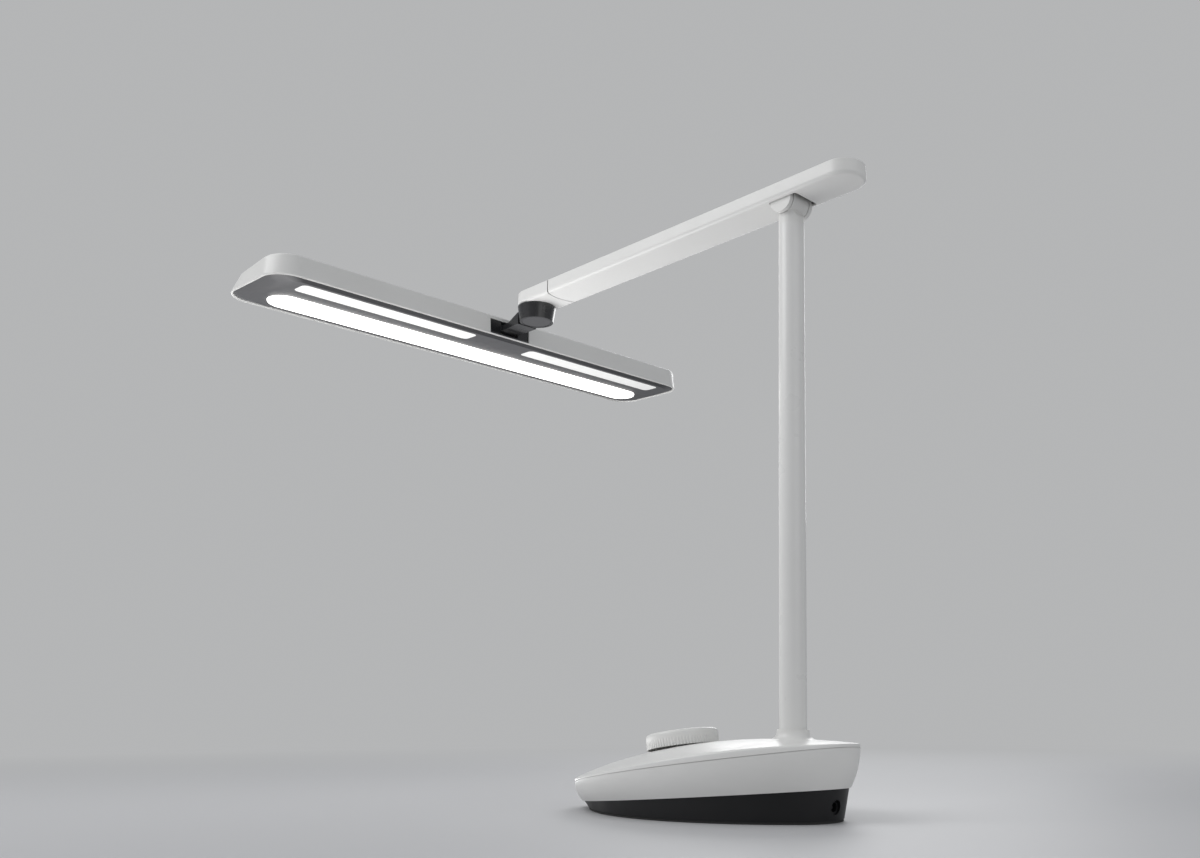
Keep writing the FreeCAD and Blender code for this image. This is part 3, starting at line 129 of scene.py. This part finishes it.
def fade_to_backdrop(tree, shader):
    """Far from the lamp the floor takes the backdrop's colour, so no horizon line shows."""
    place = tree.nodes.new("ShaderNodeTexCoord")
    reach = tree.nodes.new("ShaderNodeVectorMath")
    reach.operation = "LENGTH"
    fade = tree.nodes.new("ShaderNodeMapRange")
    fade.interpolation_type = "SMOOTHSTEP"
    fade.inputs["From Min"].default_value = FADE_START
    fade.inputs["From Max"].default_value = FADE_END
    glow = tree.nodes.new("ShaderNodeEmission")
    glow.inputs["Color"].default_value = BACKDROP_COLOUR
    seen_rays = tree.nodes.new("ShaderNodeLightPath")
    both = tree.nodes.new("ShaderNodeMath")
    both.operation = "MULTIPLY"
    mix = tree.nodes.new("ShaderNodeMixShader")
    tree.links.new(place.outputs["Object"], reach.inputs[0])
    tree.links.new(reach.outputs["Value"], fade.inputs["Value"])
    tree.links.new(fade.outputs["Result"], both.inputs[0])
    tree.links.new(seen_rays.outputs["Is Camera Ray"], both.inputs[1])
    tree.links.new(both.outputs["Value"], mix.inputs["Fac"])
    tree.links.new(shader.outputs["BSDF"], mix.inputs[1])
    tree.links.new(glow.outputs["Emission"], mix.inputs[2])
    tree.links.new(mix.outputs["Shader"], tree.nodes["Material Output"].inputs["Surface"])


fade_to_backdrop(floor_paint.node_tree, floor_shader)
print("floor", FLOOR_SIDE, "m wide, fades out from", FADE_START, "to", FADE_END, "m")

# %% World
WORLD_COLOUR = (0.93, 0.96, 1.0, 1)
WORLD_STRENGTH = 0.34
world = bpy.data.worlds.new("studio")
bpy.context.scene.world = world
world.use_nodes = True
world_tree = world.node_tree
background = world_tree.nodes["Background"]
seen = world_tree.nodes.new("ShaderNodeBackground")
seen.inputs["Color"].default_value = BACKDROP_COLOUR
seen.inputs["Strength"].default_value = 1.0
background.inputs["Color"].default_value = WORLD_COLOUR
background.inputs["Strength"].default_value = WORLD_STRENGTH
light_path = world_tree.nodes.new("ShaderNodeLightPath")
choose = world_tree.nodes.new("ShaderNodeMixShader")
world_tree.links.new(light_path.outputs["Is Camera Ray"], choose.inputs["Fac"])
world_tree.links.new(background.outputs["Background"], choose.inputs[1])
world_tree.links.new(seen.outputs["Background"], choose.inputs[2])
world_tree.links.new(choose.outputs["Shader"], world_tree.nodes["World Output"].inputs["Surface"])
print("world strength", WORLD_STRENGTH)

# %% Lamps
LAMP_AIM = Vector((0, -0.15, 0.25))
STUDIO_LAMPS = (
    # name, place, side in metres, power in watts
    ("key", (1.1, -0.7, 1.25), 1.1, 11.0),
    ("fill", (0.2, 1.5, 0.8), 1.4, 5.0),
    ("rim", (-1.3, -0.9, 0.9), 0.9, 7.0),
)
BOUNCE_PLACE = (0.15, -0.52, 0.012)    # light that comes back up from the desk
BOUNCE_SIDE = 0.5
BOUNCE_POWER = 2.6


def soft_lamp(name, place, side, power):
    """Square soft lamp that the camera doesn't see."""
    lamp_data = bpy.data.lights.new(name, "AREA")
    lamp_data.shape = "SQUARE"
    lamp_data.size = side
    lamp_data.energy = power
    lamp = bpy.data.objects.new(name, lamp_data)
    bpy.context.scene.collection.objects.link(lamp)
    lamp.location = place
    lamp.visible_camera = False
    return lamp


for lamp_name, place, side, power in STUDIO_LAMPS:
    lamp = soft_lamp(lamp_name, place, side, power)
    lamp.rotation_euler = (LAMP_AIM - Vector(place)).to_track_quat("-Z", "Y").to_euler()
bounce = soft_lamp("bounce", BOUNCE_PLACE, BOUNCE_SIDE, BOUNCE_POWER)
bounce.rotation_euler = (math.pi, 0, 0)    # straight up
print("studio lamps:", [row[0] for row in STUDIO_LAMPS])

# %% [markdown]
# ## Finishes
# Moulded plastic, painted tube, rubber and metal are never one flat colour. Each finish here is built
# from nodes: a slow noise shifts the colour by a few per cent, another one changes the roughness, and a
# very shallow bump gives the grain of the mould or the brush marks of the metal. All patterns are
# placed with Object coordinates, in metres, so a pattern keeps its real scale on every piece.


# %% The material bench
COLOUR_WAVES = 9.0           # waves per metre of the slow shift of colour
GLOSS_WAVES = 55.0           # waves per metre of the uneven gloss


def new_material(name):
    """An empty node material with its shader."""
    material = bpy.data.materials.new(name)
    material.use_nodes = True
    tree = material.node_tree
    return material, tree, tree.nodes["Principled BSDF"]


def object_noise(tree, scale, detail=3.0, stretch=(1, 1, 1)):
    """Noise in the object's own metres; stretch pulls it out along an axis."""
    place = tree.nodes.new("ShaderNodeTexCoord")
    mapping = tree.nodes.new("ShaderNodeMapping")
    mapping.inputs["Scale"].default_value = stretch
    noise = tree.nodes.new("ShaderNodeTexNoise")
    noise.inputs["Scale"].default_value = scale
    noise.inputs["Detail"].default_value = detail
    tree.links.new(place.outputs["Object"], mapping.inputs["Vector"])
    tree.links.new(mapping.outputs["Vector"], noise.inputs["Vector"])
    return noise.outputs["Fac"]


def ramp(tree, factor, dark, light, low=0.35, high=0.65):
    """Colour that runs from dark to light as the factor grows."""
    node = tree.nodes.new("ShaderNodeValToRGB")
    node.color_ramp.elements[0].position = low
    node.color_ramp.elements[0].color = (*dark, 1)
    node.color_ramp.elements[1].position = high
    node.color_ramp.elements[1].color = (*light, 1)
    tree.links.new(factor, node.inputs["Fac"])
    return node.outputs["Color"]


def spread(tree, factor, low, high):
    """Number that runs from low to high as the factor runs over its middle."""
    node = tree.nodes.new("ShaderNodeMapRange")
    node.inputs["From Min"].default_value = 0.3
    node.inputs["From Max"].default_value = 0.7
    node.inputs["To Min"].default_value = low
    node.inputs["To Max"].default_value = high
    tree.links.new(factor, node.inputs["Value"])
    return node.outputs["Result"]


def relief(tree, height, depth_mm, strength=1.0):
    """Bump with a real depth in millimetres."""
    node = tree.nodes.new("ShaderNodeBump")
    node.inputs["Strength"].default_value = strength
    node.inputs["Distance"].default_value = depth_mm * MM
    tree.links.new(height, node.inputs["Height"])
    return node.outputs["Normal"]


def moulding(name, dark, light, rough, grain_per_m, grain_mm, coat=0.0, gloss=0.5):
    """Moulded plastic: a slow shift of colour, uneven gloss and the mould's fine grain."""
    material, tree, shader = new_material(name)
    tree.links.new(ramp(tree, object_noise(tree, COLOUR_WAVES), dark, light), shader.inputs["Base Color"])
    tree.links.new(spread(tree, object_noise(tree, GLOSS_WAVES), *rough), shader.inputs["Roughness"])
    grain = object_noise(tree, grain_per_m, 2.0)
    tree.links.new(relief(tree, grain, grain_mm), shader.inputs["Normal"])
    shader.inputs["Coat Weight"].default_value = coat
    shader.inputs["Coat Roughness"].default_value = 0.18
    shader.inputs["Specular IOR Level"].default_value = gloss
    return material


def metal(name, dark, light, rough, stretch, scratch_per_m=900.0, scratch_mm=0.004):
    """Bare metal: brush or tool marks drawn out along one axis."""
    material, tree, shader = new_material(name)
    shader.inputs["Metallic"].default_value = 1.0
    tree.links.new(ramp(tree, object_noise(tree, 40.0), dark, light), shader.inputs["Base Color"])
    marks = object_noise(tree, scratch_per_m, 4.0, stretch)
    tree.links.new(spread(tree, marks, *rough), shader.inputs["Roughness"])
    tree.links.new(relief(tree, marks, scratch_mm), shader.inputs["Normal"])
    return material


# %% [markdown]
# The white shells are satin ABS, the tube is sprayed steel with the faint orange peel of paint, and the
# black joint parts are glass-filled nylon with a coarser grain. The head's underside is dark grey and
# finely grained so that it doesn't mirror the desk.

# %% Make the finishes
finishes = {
    # moulding: name, dark, light, roughness, grains per metre, grain depth in mm, coat, gloss
    "white_shell": moulding(
        "satin_white_abs", (0.79, 0.785, 0.765), (0.82, 0.815, 0.797), (0.30, 0.38), 2600, 0.006
    ),
    "white_insert": moulding(
        "fine_white_abs", (0.76, 0.757, 0.742), (0.79, 0.785, 0.77), (0.42, 0.5), 3400, 0.008
    ),
    "white_joint": moulding(
        "white_nylon", (0.76, 0.755, 0.735), (0.80, 0.795, 0.775), (0.36, 0.45), 2200, 0.01
    ),
    "white_tube": moulding(
        "white_paint", (0.785, 0.78, 0.763), (0.80, 0.796, 0.78), (0.27, 0.31), 1400, 0.002, 0.15
    ),
    "black_shell": moulding(
        "black_abs", (0.010, 0.010, 0.011), (0.015, 0.015, 0.016), (0.36, 0.46), 1800, 0.008, 0.0, 0.28
    ),
    "black_joint": moulding(
        "black_nylon", (0.014, 0.014, 0.015), (0.020, 0.020, 0.021), (0.20, 0.30), 1500, 0.006, 0.35
    ),
    "grey_panel": moulding(
        "grained_grey_abs", (0.060, 0.060, 0.063), (0.072, 0.072, 0.076), (0.38, 0.5), 2000, 0.02
    ),
    "lead_jacket": moulding(
        "lead_jacket", (0.02, 0.02, 0.02), (0.03, 0.03, 0.03), (0.5, 0.6), 1300, 0.02
    ),
    "circuit_board": moulding(
        "solder_mask", (0.015, 0.10, 0.045), (0.02, 0.13, 0.06), (0.3, 0.4), 700, 0.01
    ),
    "light_board": moulding(
        "white_mask", (0.74, 0.74, 0.71), (0.79, 0.79, 0.76), (0.4, 0.5), 700, 0.01
    ),
    "joint_washer": moulding(
        "dry_washer", (0.05, 0.05, 0.052), (0.07, 0.07, 0.07), (0.5, 0.6), 1300, 0.02
    ),
    # metal: name, dark, light, roughness, stretch of the marks, marks per metre, mark depth in mm
    "weight_iron": metal(
        "raw_iron", (0.12, 0.12, 0.12), (0.19, 0.185, 0.18), (0.55, 0.75), (1, 1, 1), 300, 0.08
    ),
    "bracket_steel": metal(
        "dark_zinc", (0.26, 0.26, 0.27), (0.34, 0.34, 0.35), (0.35, 0.5), (1, 8, 1)
    ),
    "encoder_steel": metal(
        "pressed_steel", (0.52, 0.52, 0.53), (0.62, 0.62, 0.63), (0.3, 0.42), (8, 1, 1)
    ),
    "screw_steel": metal(
        "bright_zinc", (0.50, 0.50, 0.52), (0.62, 0.62, 0.64), (0.25, 0.38), (1, 1, 6)
    ),
    "standoff_brass": metal(
        "turned_brass", (0.62, 0.46, 0.20), (0.72, 0.55, 0.26), (0.25, 0.35), (1, 1, 8)
    ),
    "spreader_aluminium": metal(
        "aluminium", (0.62, 0.62, 0.64), (0.74, 0.74, 0.76), (0.3, 0.4), (1, 12, 1)
    ),
}
print("finishes:", len(finishes))

# %% [markdown]
# The light covers are milky plastic. The long one in front is lit, so its material sheds light; a soft
# pattern keeps the brightness from being one flat value. The two slots behind it are only dimly lit in
# the photograph, so they shed very little light; their fine ribs spread it sideways. The foot is a soft
# rubber sheet with rows of small dimples.


# %% Milky covers and the rubber foot
def lit_cover():
    """Milky acrylic with the light boards on behind it."""
    material, tree, shader = new_material("lit_milky_acrylic")
    glow = object_noise(tree, 60.0, 2.0)
    light = ramp(tree, glow, (1.0, 0.985, 0.95), (1.0, 0.995, 0.975))
    tree.links.new(light, shader.inputs["Emission Color"])
    shader.inputs["Emission Strength"].default_value = 3.2
    colour = ramp(tree, glow, (0.86, 0.86, 0.84), (0.9, 0.9, 0.88))
    tree.links.new(colour, shader.inputs["Base Color"])
    shader.inputs["Roughness"].default_value = 0.3
    return material


def ribbed_cover():
    """Dimly lit milky acrylic with ribs across the slot."""
    material, tree, shader = new_material("ribbed_milky_acrylic")
    place = tree.nodes.new("ShaderNodeTexCoord")
    ribs = tree.nodes.new("ShaderNodeTexWave")
    ribs.bands_direction = "X"
    ribs.inputs["Scale"].default_value = 260.0
    tree.links.new(place.outputs["Object"], ribs.inputs["Vector"])
    tree.links.new(relief(tree, ribs.outputs["Fac"], 0.08), shader.inputs["Normal"])
    tone = object_noise(tree, 25.0)
    colour = ramp(tree, tone, (0.76, 0.76, 0.745), (0.80, 0.80, 0.785))
    tree.links.new(colour, shader.inputs["Base Color"])
    shader.inputs["Roughness"].default_value = 0.32
    shader.inputs["Emission Color"].default_value = (1.0, 0.99, 0.96, 1)
    shader.inputs["Emission Strength"].default_value = 0.16
    return material


def dimpled_rubber():
    """Soft sheet with small round dimples that grip the table."""
    material, tree, shader = new_material("dimpled_rubber")
    place = tree.nodes.new("ShaderNodeTexCoord")
    dimples = tree.nodes.new("ShaderNodeTexVoronoi")
    dimples.inputs["Scale"].default_value = 420.0
    dimples.inputs["Randomness"].default_value = 0.0
    tree.links.new(place.outputs["Object"], dimples.inputs["Vector"])
    tree.links.new(relief(tree, dimples.outputs["Distance"], 0.35), shader.inputs["Normal"])
    tone = object_noise(tree, 30.0)
    colour = ramp(tree, tone, (0.022, 0.022, 0.022), (0.034, 0.034, 0.033))
    tree.links.new(colour, shader.inputs["Base Color"])
    tree.links.new(spread(tree, tone, 0.75, 0.9), shader.inputs["Roughness"])
    return material


finishes["foot_rubber"] = dimpled_rubber()
finishes["diffuser"] = lit_cover()
finishes["slot_diffuser"] = ribbed_cover()

# %% [markdown]
# ## Paint the solids
# The CAD record says which material each node is made of. Every node gets the finish of that name, also
# the ones inside, so that a part that is taken off later looks right too.

# %% Give every CAD node its finish
slot_of = {row["node"]: row["material_slot"] for row in frame["record"]["subparts"]}
for node_name, node in nodes.items():
    node.data.materials.clear()
    node.data.materials.append(finishes[slot_of[node_name]])
print("nodes painted:", len(slot_of))

# %% [markdown]
# ## Smooth shells
# The CAD model's curved shells arrive as small flat triangles. On glossy white plastic those flats
# would show as facets. Each visible shell is therefore copied, its loose triangles are merged into one
# skin, and the skin is shaded smooth wherever it turns by less than a set angle, which leaves real
# edges crisp.


# %% A smooth skin from a CAD solid
SKIN_MERGE = 0.000001        # metres; points that are closer than this become one
FLAT_ANGLE = 0.05            # degrees; triangles that turn by less than this are one face
body_of = {name: body for body, names in frame["record"]["behaviour"]["bodies"].items() for name in names}


def smooth_skin(node_name, angle=28.0):
    """Copy of a CAD node, merged and smoothly shaded, which stands for that node."""
    source = nodes[node_name]
    mesh = source.data.copy()
    piece = bpy.data.objects.new("skin_" + node_name, mesh)
    bpy.context.scene.collection.objects.link(piece)
    select_only(piece)
    if mesh.has_custom_normals:
        bpy.ops.mesh.customdata_custom_splitnormals_clear()
    bpy.ops.object.mode_set(mode="EDIT")
    bpy.ops.mesh.select_all(action="SELECT")
    bpy.ops.mesh.remove_doubles(threshold=SKIN_MERGE)
    bpy.ops.mesh.dissolve_limited(angle_limit=math.radians(FLAT_ANGLE))
    bpy.ops.object.mode_set(mode="OBJECT")
    bpy.ops.object.shade_smooth_by_angle(angle=math.radians(angle))
    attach(piece, body_of[node_name])
    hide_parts(node_name)
    return piece


SMOOTH_SHELLS = (
    "base_top_cover", "base_body", "bottom_plinth", "post_tube", "hub_barrel", "hinge_frame", "arm_body",
    "arm_top_cover", "arm_end_cap", "swivel_drum", "drum_cap", "head_cover", "head_panel", "main_diffuser",
    "side_diffuser_right", "side_diffuser_left", "dial_insert", "hinge_ear_caps",
)
for shell in SMOOTH_SHELLS:
    skin = smooth_skin(shell)
    print(skin.name, len(skin.data.polygons), "faces")

# %% [markdown]
# ## The fluted dial
# The real dial is a turned-looking cap: a smooth rounded shoulder on top, and below it a ring of soft
# grooves for the fingers. The CAD solid has the grooves as plain cuts. Here the grip is modelled
# upright at the world's centre: a circle is extruded upwards ring by ring and the shoulder is rolled
# over. Then three of every six columns of points are pulled in to make a groove, and the top is closed.
# Only then is the dial tilted onto the base.


# %% Helpers for modelling by hand
PIECE_MERGE = 0.0000005      # metres; points that are closer than this become one
HAIR = 0.00001               # metres; two levels that are closer than this count as one


def pull_up(rise):
    """In edit mode, extrude the selection by a height."""
    bpy.ops.mesh.extrude_region_move(TRANSFORM_OT_translate={"value": (0, 0, rise)})


def widen(share, **options):
    """In edit mode, scale the selection in plan."""
    bpy.ops.transform.resize(value=(share, share, 1), **options)


def pick(piece, chosen):
    """In edit mode, select only the points that the test accepts."""
    bpy.ops.mesh.select_all(action="DESELECT")
    bpy.ops.object.mode_set(mode="OBJECT")
    for point in piece.data.vertices:
        point.select = chosen(point)
    bpy.ops.object.mode_set(mode="EDIT")


def finish_piece(piece, body, slot_name, angle=35.0):
    """Freeze the piece's place into its mesh, clean it, shade it, and hand it to its body."""
    select_only(piece)
    bpy.ops.object.transform_apply(location=True, rotation=True, scale=True)
    bpy.ops.object.mode_set(mode="EDIT")
    bpy.ops.mesh.select_all(action="SELECT")
    bpy.ops.mesh.remove_doubles(threshold=PIECE_MERGE)
    bpy.ops.mesh.normals_make_consistent(inside=False)
    bpy.ops.object.mode_set(mode="OBJECT")
    bpy.ops.object.shade_smooth_by_angle(angle=math.radians(angle))
    piece.data.materials.clear()
    piece.data.materials.append(finishes[slot_name])
    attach(piece, body)
    print(piece.name, len(piece.data.polygons), "faces")


# %% Measure the CAD dial along its own axis
DIAL_CENTRE = Vector((0, -0.106, 0.0457))
DIAL_AXIS = Vector((0, -0.15143, 0.98847)).normalized()


def along_dial(node_name):
    """Lowest and highest level of a node on the dial's axis, and its widest radius."""
    points = [vertex.co - DIAL_CENTRE for vertex in nodes[node_name].data.vertices]
    levels = [point.dot(DIAL_AXIS) for point in points]
    radius = max((point - DIAL_AXIS * point.dot(DIAL_AXIS)).length for point in points)
    return min(levels), max(levels), radius


knob_low, knob_high, knob_radius = along_dial("dial_knob")
insert_low, insert_high, insert_radius = along_dial("dial_insert")
print("dial from", knob_low, "to", knob_high, "radius", knob_radius)
print("inlaid disc from", insert_low, "to", insert_high, "radius", insert_radius)

# %% Model the grip
GROOVES = 72
POINTS_PER_GROOVE = 6
GROOVE_DEPTH = 0.00095
SMOOTH_BAND = 0.0029
SHOULDER = 0.0022
SHOULDER_STEPS = 6
FOOT_EDGE = 0.0004           # first ring at the foot
RUN_OUT_RING = 0.0008        # height of each of the two rings in which a groove runs out
INSIDE_CAD = 0.00005         # keeps the grip just inside the CAD dial
rim_radius = knob_radius - INSIDE_CAD
groove_top = knob_high - SMOOTH_BAND - SHOULDER * 0.5
rises = (
    FOOT_EDGE,
    (groove_top - knob_low) - 2 * RUN_OUT_RING,
    RUN_OUT_RING,
    RUN_OUT_RING,
    knob_high - SHOULDER - groove_top - FOOT_EDGE,
)
deselect()
bpy.ops.mesh.primitive_circle_add(
    vertices=GROOVES * POINTS_PER_GROOVE, radius=rim_radius, fill_type="NOTHING", location=(0, 0, knob_low)
)
grip = bpy.context.object
grip.name = "dial_grip"
bpy.ops.object.mode_set(mode="EDIT")
bpy.ops.mesh.select_all(action="SELECT")
for rise in rises:
    pull_up(rise)
turned = 0.0
angle_before = 0.0
for step in range(1, SHOULDER_STEPS + 1):
    angle = math.radians(90 / SHOULDER_STEPS * step)
    inwards = SHOULDER * (1 - math.cos(angle))
    pull_up(SHOULDER * math.sin(angle) - SHOULDER * math.sin(angle_before))
    widen((rim_radius - inwards) / (rim_radius - turned))
    turned = inwards
    angle_before = angle
bpy.ops.object.mode_set(mode="OBJECT")
levels = sorted({round(vertex.co.z, 6) for vertex in grip.data.vertices})
print("rings of the grip at", levels)

# %% Pull the grooves in
SIDE_SHARE = 0.72            # how deep the columns beside a groove's middle go
RUN_OUT = 0.0006             # the grooves end this far below their top level


def groove_column(point, offset):
    """Does this point lie on the given column of a groove?"""
    step = round(math.atan2(point.co.y, point.co.x) / (2 * math.pi) * GROOVES * POINTS_PER_GROOVE)
    return step % POINTS_PER_GROOVE == offset and point.co.z < groove_top - RUN_OUT


bpy.ops.object.mode_set(mode="EDIT")
for offset, share in ((0, 1.0), (1, SIDE_SHARE), (POINTS_PER_GROOVE - 1, SIDE_SHARE)):
    pick(grip, lambda point: groove_column(point, offset))
    widen(1 - GROOVE_DEPTH * share / rim_radius, center_override=(0, 0, 0))
print("grooves:", GROOVES)

# %% Close the top with the seat of the inlaid disc, and give the skirt its wall
DIAL_WALL = 0.0022
SEAT_GAP = 0.00012           # play round the inlaid disc
SEAT_LAND = 0.00035          # flat ring round the seat
SEAT_EDGE = 0.0003
FLOOR_WALL = 0.0012          # left under the inlaid disc
top_level = max(levels)
pick(grip, lambda point: point.co.z > top_level - HAIR)
top_radius = rim_radius - turned
seat_radius = insert_radius + SEAT_GAP
seat_rings = (
    (seat_radius + SEAT_LAND, 0.0),
    (seat_radius, -SEAT_EDGE),
    (seat_radius, insert_low - top_level + SEAT_EDGE),
)
for next_radius, rise in seat_rings:
    pull_up(rise)
    widen(next_radius / top_radius)
    top_radius = next_radius
bpy.ops.mesh.edge_face_add()
pick(grip, lambda point: point.co.z < knob_low + HAIR)
pull_up(0)
widen(1 - DIAL_WALL / rim_radius, center_override=(0, 0, 0))
pull_up(insert_low - knob_low - FLOOR_WALL)
bpy.ops.mesh.edge_face_add()
bpy.ops.object.mode_set(mode="OBJECT")
grip.rotation_euler = Vector((0, 0, 1)).rotation_difference(DIAL_AXIS).to_euler()
grip.location = DIAL_CENTRE
finish_piece(grip, "dial", slot_of["dial_knob"], 40.0)
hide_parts("dial_knob")

# %% [markdown]
# ## The bright lip round the light panel
# The head's shell ends in a thin lip round the dark panel. Its slanting lower face catches the light
# that comes back from the desk, so it shows as a bright line from far away. It starts as a flat plate
# in the rim's plan with rounded corners; an inset leaves a narrow ring, the ring is pulled down, and
# its outer edge is bevelled.

# %% Model the lip from the rim's measured box
rim_low, rim_high = (Vector(corner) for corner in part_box("head_cover"))
LIP_WIDTH = 0.0014
LIP_DROP = 0.0012
CORNER_RADIUS = 0.0214
CORNER_SEGMENTS = 14
RIM_GAP = 0.0001             # keeps the lip just inside the CAD rim
deselect()
bpy.ops.mesh.primitive_plane_add(
    size=1, location=((rim_low.x + rim_high.x) / 2, (rim_low.y + rim_high.y) / 2, rim_low.z)
)
lip = bpy.context.object
lip.name = "head_rim_lip"
lip.scale = (rim_high.x - rim_low.x - RIM_GAP, rim_high.y - rim_low.y - RIM_GAP, 1)
bpy.ops.object.transform_apply(location=True, rotation=True, scale=True)
bpy.ops.object.mode_set(mode="EDIT")
bpy.ops.mesh.select_all(action="SELECT")
bpy.ops.mesh.bevel(offset=CORNER_RADIUS, segments=CORNER_SEGMENTS, affect="VERTICES")
bpy.ops.mesh.select_mode(type="FACE")
bpy.ops.mesh.select_all(action="SELECT")
bpy.ops.mesh.inset(thickness=LIP_WIDTH)
bpy.ops.mesh.delete(type="FACE")
bpy.ops.mesh.select_all(action="SELECT")
pull_up(-LIP_DROP)
bpy.ops.mesh.select_mode(type="EDGE")
bpy.ops.object.mode_set(mode="OBJECT")
print(lip.name, len(lip.data.edges), "edges")

# %% Bevel its outer lower edge
ON_EDGE = 0.0002             # metres; how near to the plan's straight side counts as on it
ON_CORNER = 0.0004           # the same for the round corners
BEVEL_SHARE = 0.85           # share of the lip's height that the bevel takes


def outer_low_edge(edge):
    """Edge of the lip that lies low and outside."""
    ends = [lip.data.vertices[index].co for index in edge.vertices]
    inside_x = max(abs(end.x) for end in ends)
    nearest_y = min(min(end.y - rim_low.y, rim_high.y - end.y) for end in ends)
    corner = math.hypot(
        max(0.0, inside_x - (rim_high.x - CORNER_RADIUS)), max(0.0, CORNER_RADIUS - nearest_y)
    )
    low = max(end.z for end in ends) < rim_low.z - LIP_DROP + HAIR
    return low and (
        nearest_y < ON_EDGE or inside_x > rim_high.x - ON_EDGE or corner > CORNER_RADIUS - ON_CORNER
    )


for edge in lip.data.edges:
    edge.select = outer_low_edge(edge)
print("edges of the lip to bevel:", sum(edge.select for edge in lip.data.edges))
bpy.ops.object.mode_set(mode="EDIT")
bpy.ops.mesh.bevel(offset=LIP_DROP * BEVEL_SHARE, segments=2, affect="EDGES")
bpy.ops.mesh.select_mode(type="VERT")
finish_piece(lip, "head", slot_of["head_cover"], 50.0)

# %% [markdown]
# ## The screws under the base
# Four pan-head screws hold the base shut. They sit in deep holes of the underside, and anyone who turns
# the lamp over sees their cross recesses first. One screw is modelled: a cylinder with a rounded head,
# a cross cut out of it with a Boolean modifier, and a shank. The other three are copies with meshes of
# their own.

# %% Model one screw and copy it
screws_low, screws_high = (Vector(corner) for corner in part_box("case_screws"))
HEAD_RADIUS = 0.0028
SHANK_RADIUS = 0.00145
HEAD_DEPTH = 0.0019
HEAD_ROUND = 0.0007
CROSS_LEVEL = 0.0004         # middle of the cross above the head's face
CROSS_SIZE = (0.0030, 0.0007, 0.0018)
BACK_ROW_X = 0.019           # the two screws at the back stand closer together
deselect()
bpy.ops.mesh.primitive_cylinder_add(
    vertices=48, radius=HEAD_RADIUS, depth=HEAD_DEPTH, location=(0, 0, screws_low.z + HEAD_DEPTH / 2)
)
screw = bpy.context.object
screw.name = "base_screw_1"
bpy.ops.object.transform_apply(location=True, rotation=True, scale=True)
bpy.ops.object.mode_set(mode="EDIT")
bpy.ops.mesh.select_mode(type="VERT")
pick(screw, lambda point: point.co.z < screws_low.z + HAIR)
bpy.ops.mesh.bevel(offset=HEAD_ROUND, segments=5, affect="EDGES")
pick(screw, lambda point: point.co.z > screws_low.z + HEAD_DEPTH - HAIR)
bpy.ops.mesh.select_mode(type="FACE")
bpy.ops.mesh.inset(thickness=HEAD_RADIUS - SHANK_RADIUS)
pull_up(screws_high.z - screws_low.z - HEAD_DEPTH)
bpy.ops.mesh.select_mode(type="VERT")
bpy.ops.object.mode_set(mode="OBJECT")
for turn in (0, 90):
    deselect()
    bpy.ops.mesh.primitive_cube_add(size=1, location=(0, 0, screws_low.z + CROSS_LEVEL))
    wing = bpy.context.object
    wing.scale = CROSS_SIZE
    wing.rotation_euler = (0, 0, math.radians(turn))
    cross = screw.modifiers.new("cross", "BOOLEAN")
    cross.operation = "DIFFERENCE"
    cross.object = wing
    select_only(screw)
    bpy.ops.object.modifier_apply(modifier="cross")
    bpy.data.objects.remove(wing)
front_y = screws_low.y + HEAD_RADIUS
back_y = screws_high.y - HEAD_RADIUS
wide_x = screws_high.x - HEAD_RADIUS
places = ((wide_x, front_y), (-wide_x, front_y), (BACK_ROW_X, back_y), (-BACK_ROW_X, back_y))
for count, (x, y) in enumerate(places, start=1):
    copy = screw.copy()
    copy.data = screw.data.copy()
    copy.name = "case_screw_" + str(count)
    bpy.context.scene.collection.objects.link(copy)
    copy.location = (x, y, 0)
    finish_piece(copy, "base", slot_of["case_screws"], 30.0)
    if count == 1:
        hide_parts("case_screws")
bpy.data.objects.remove(screw)
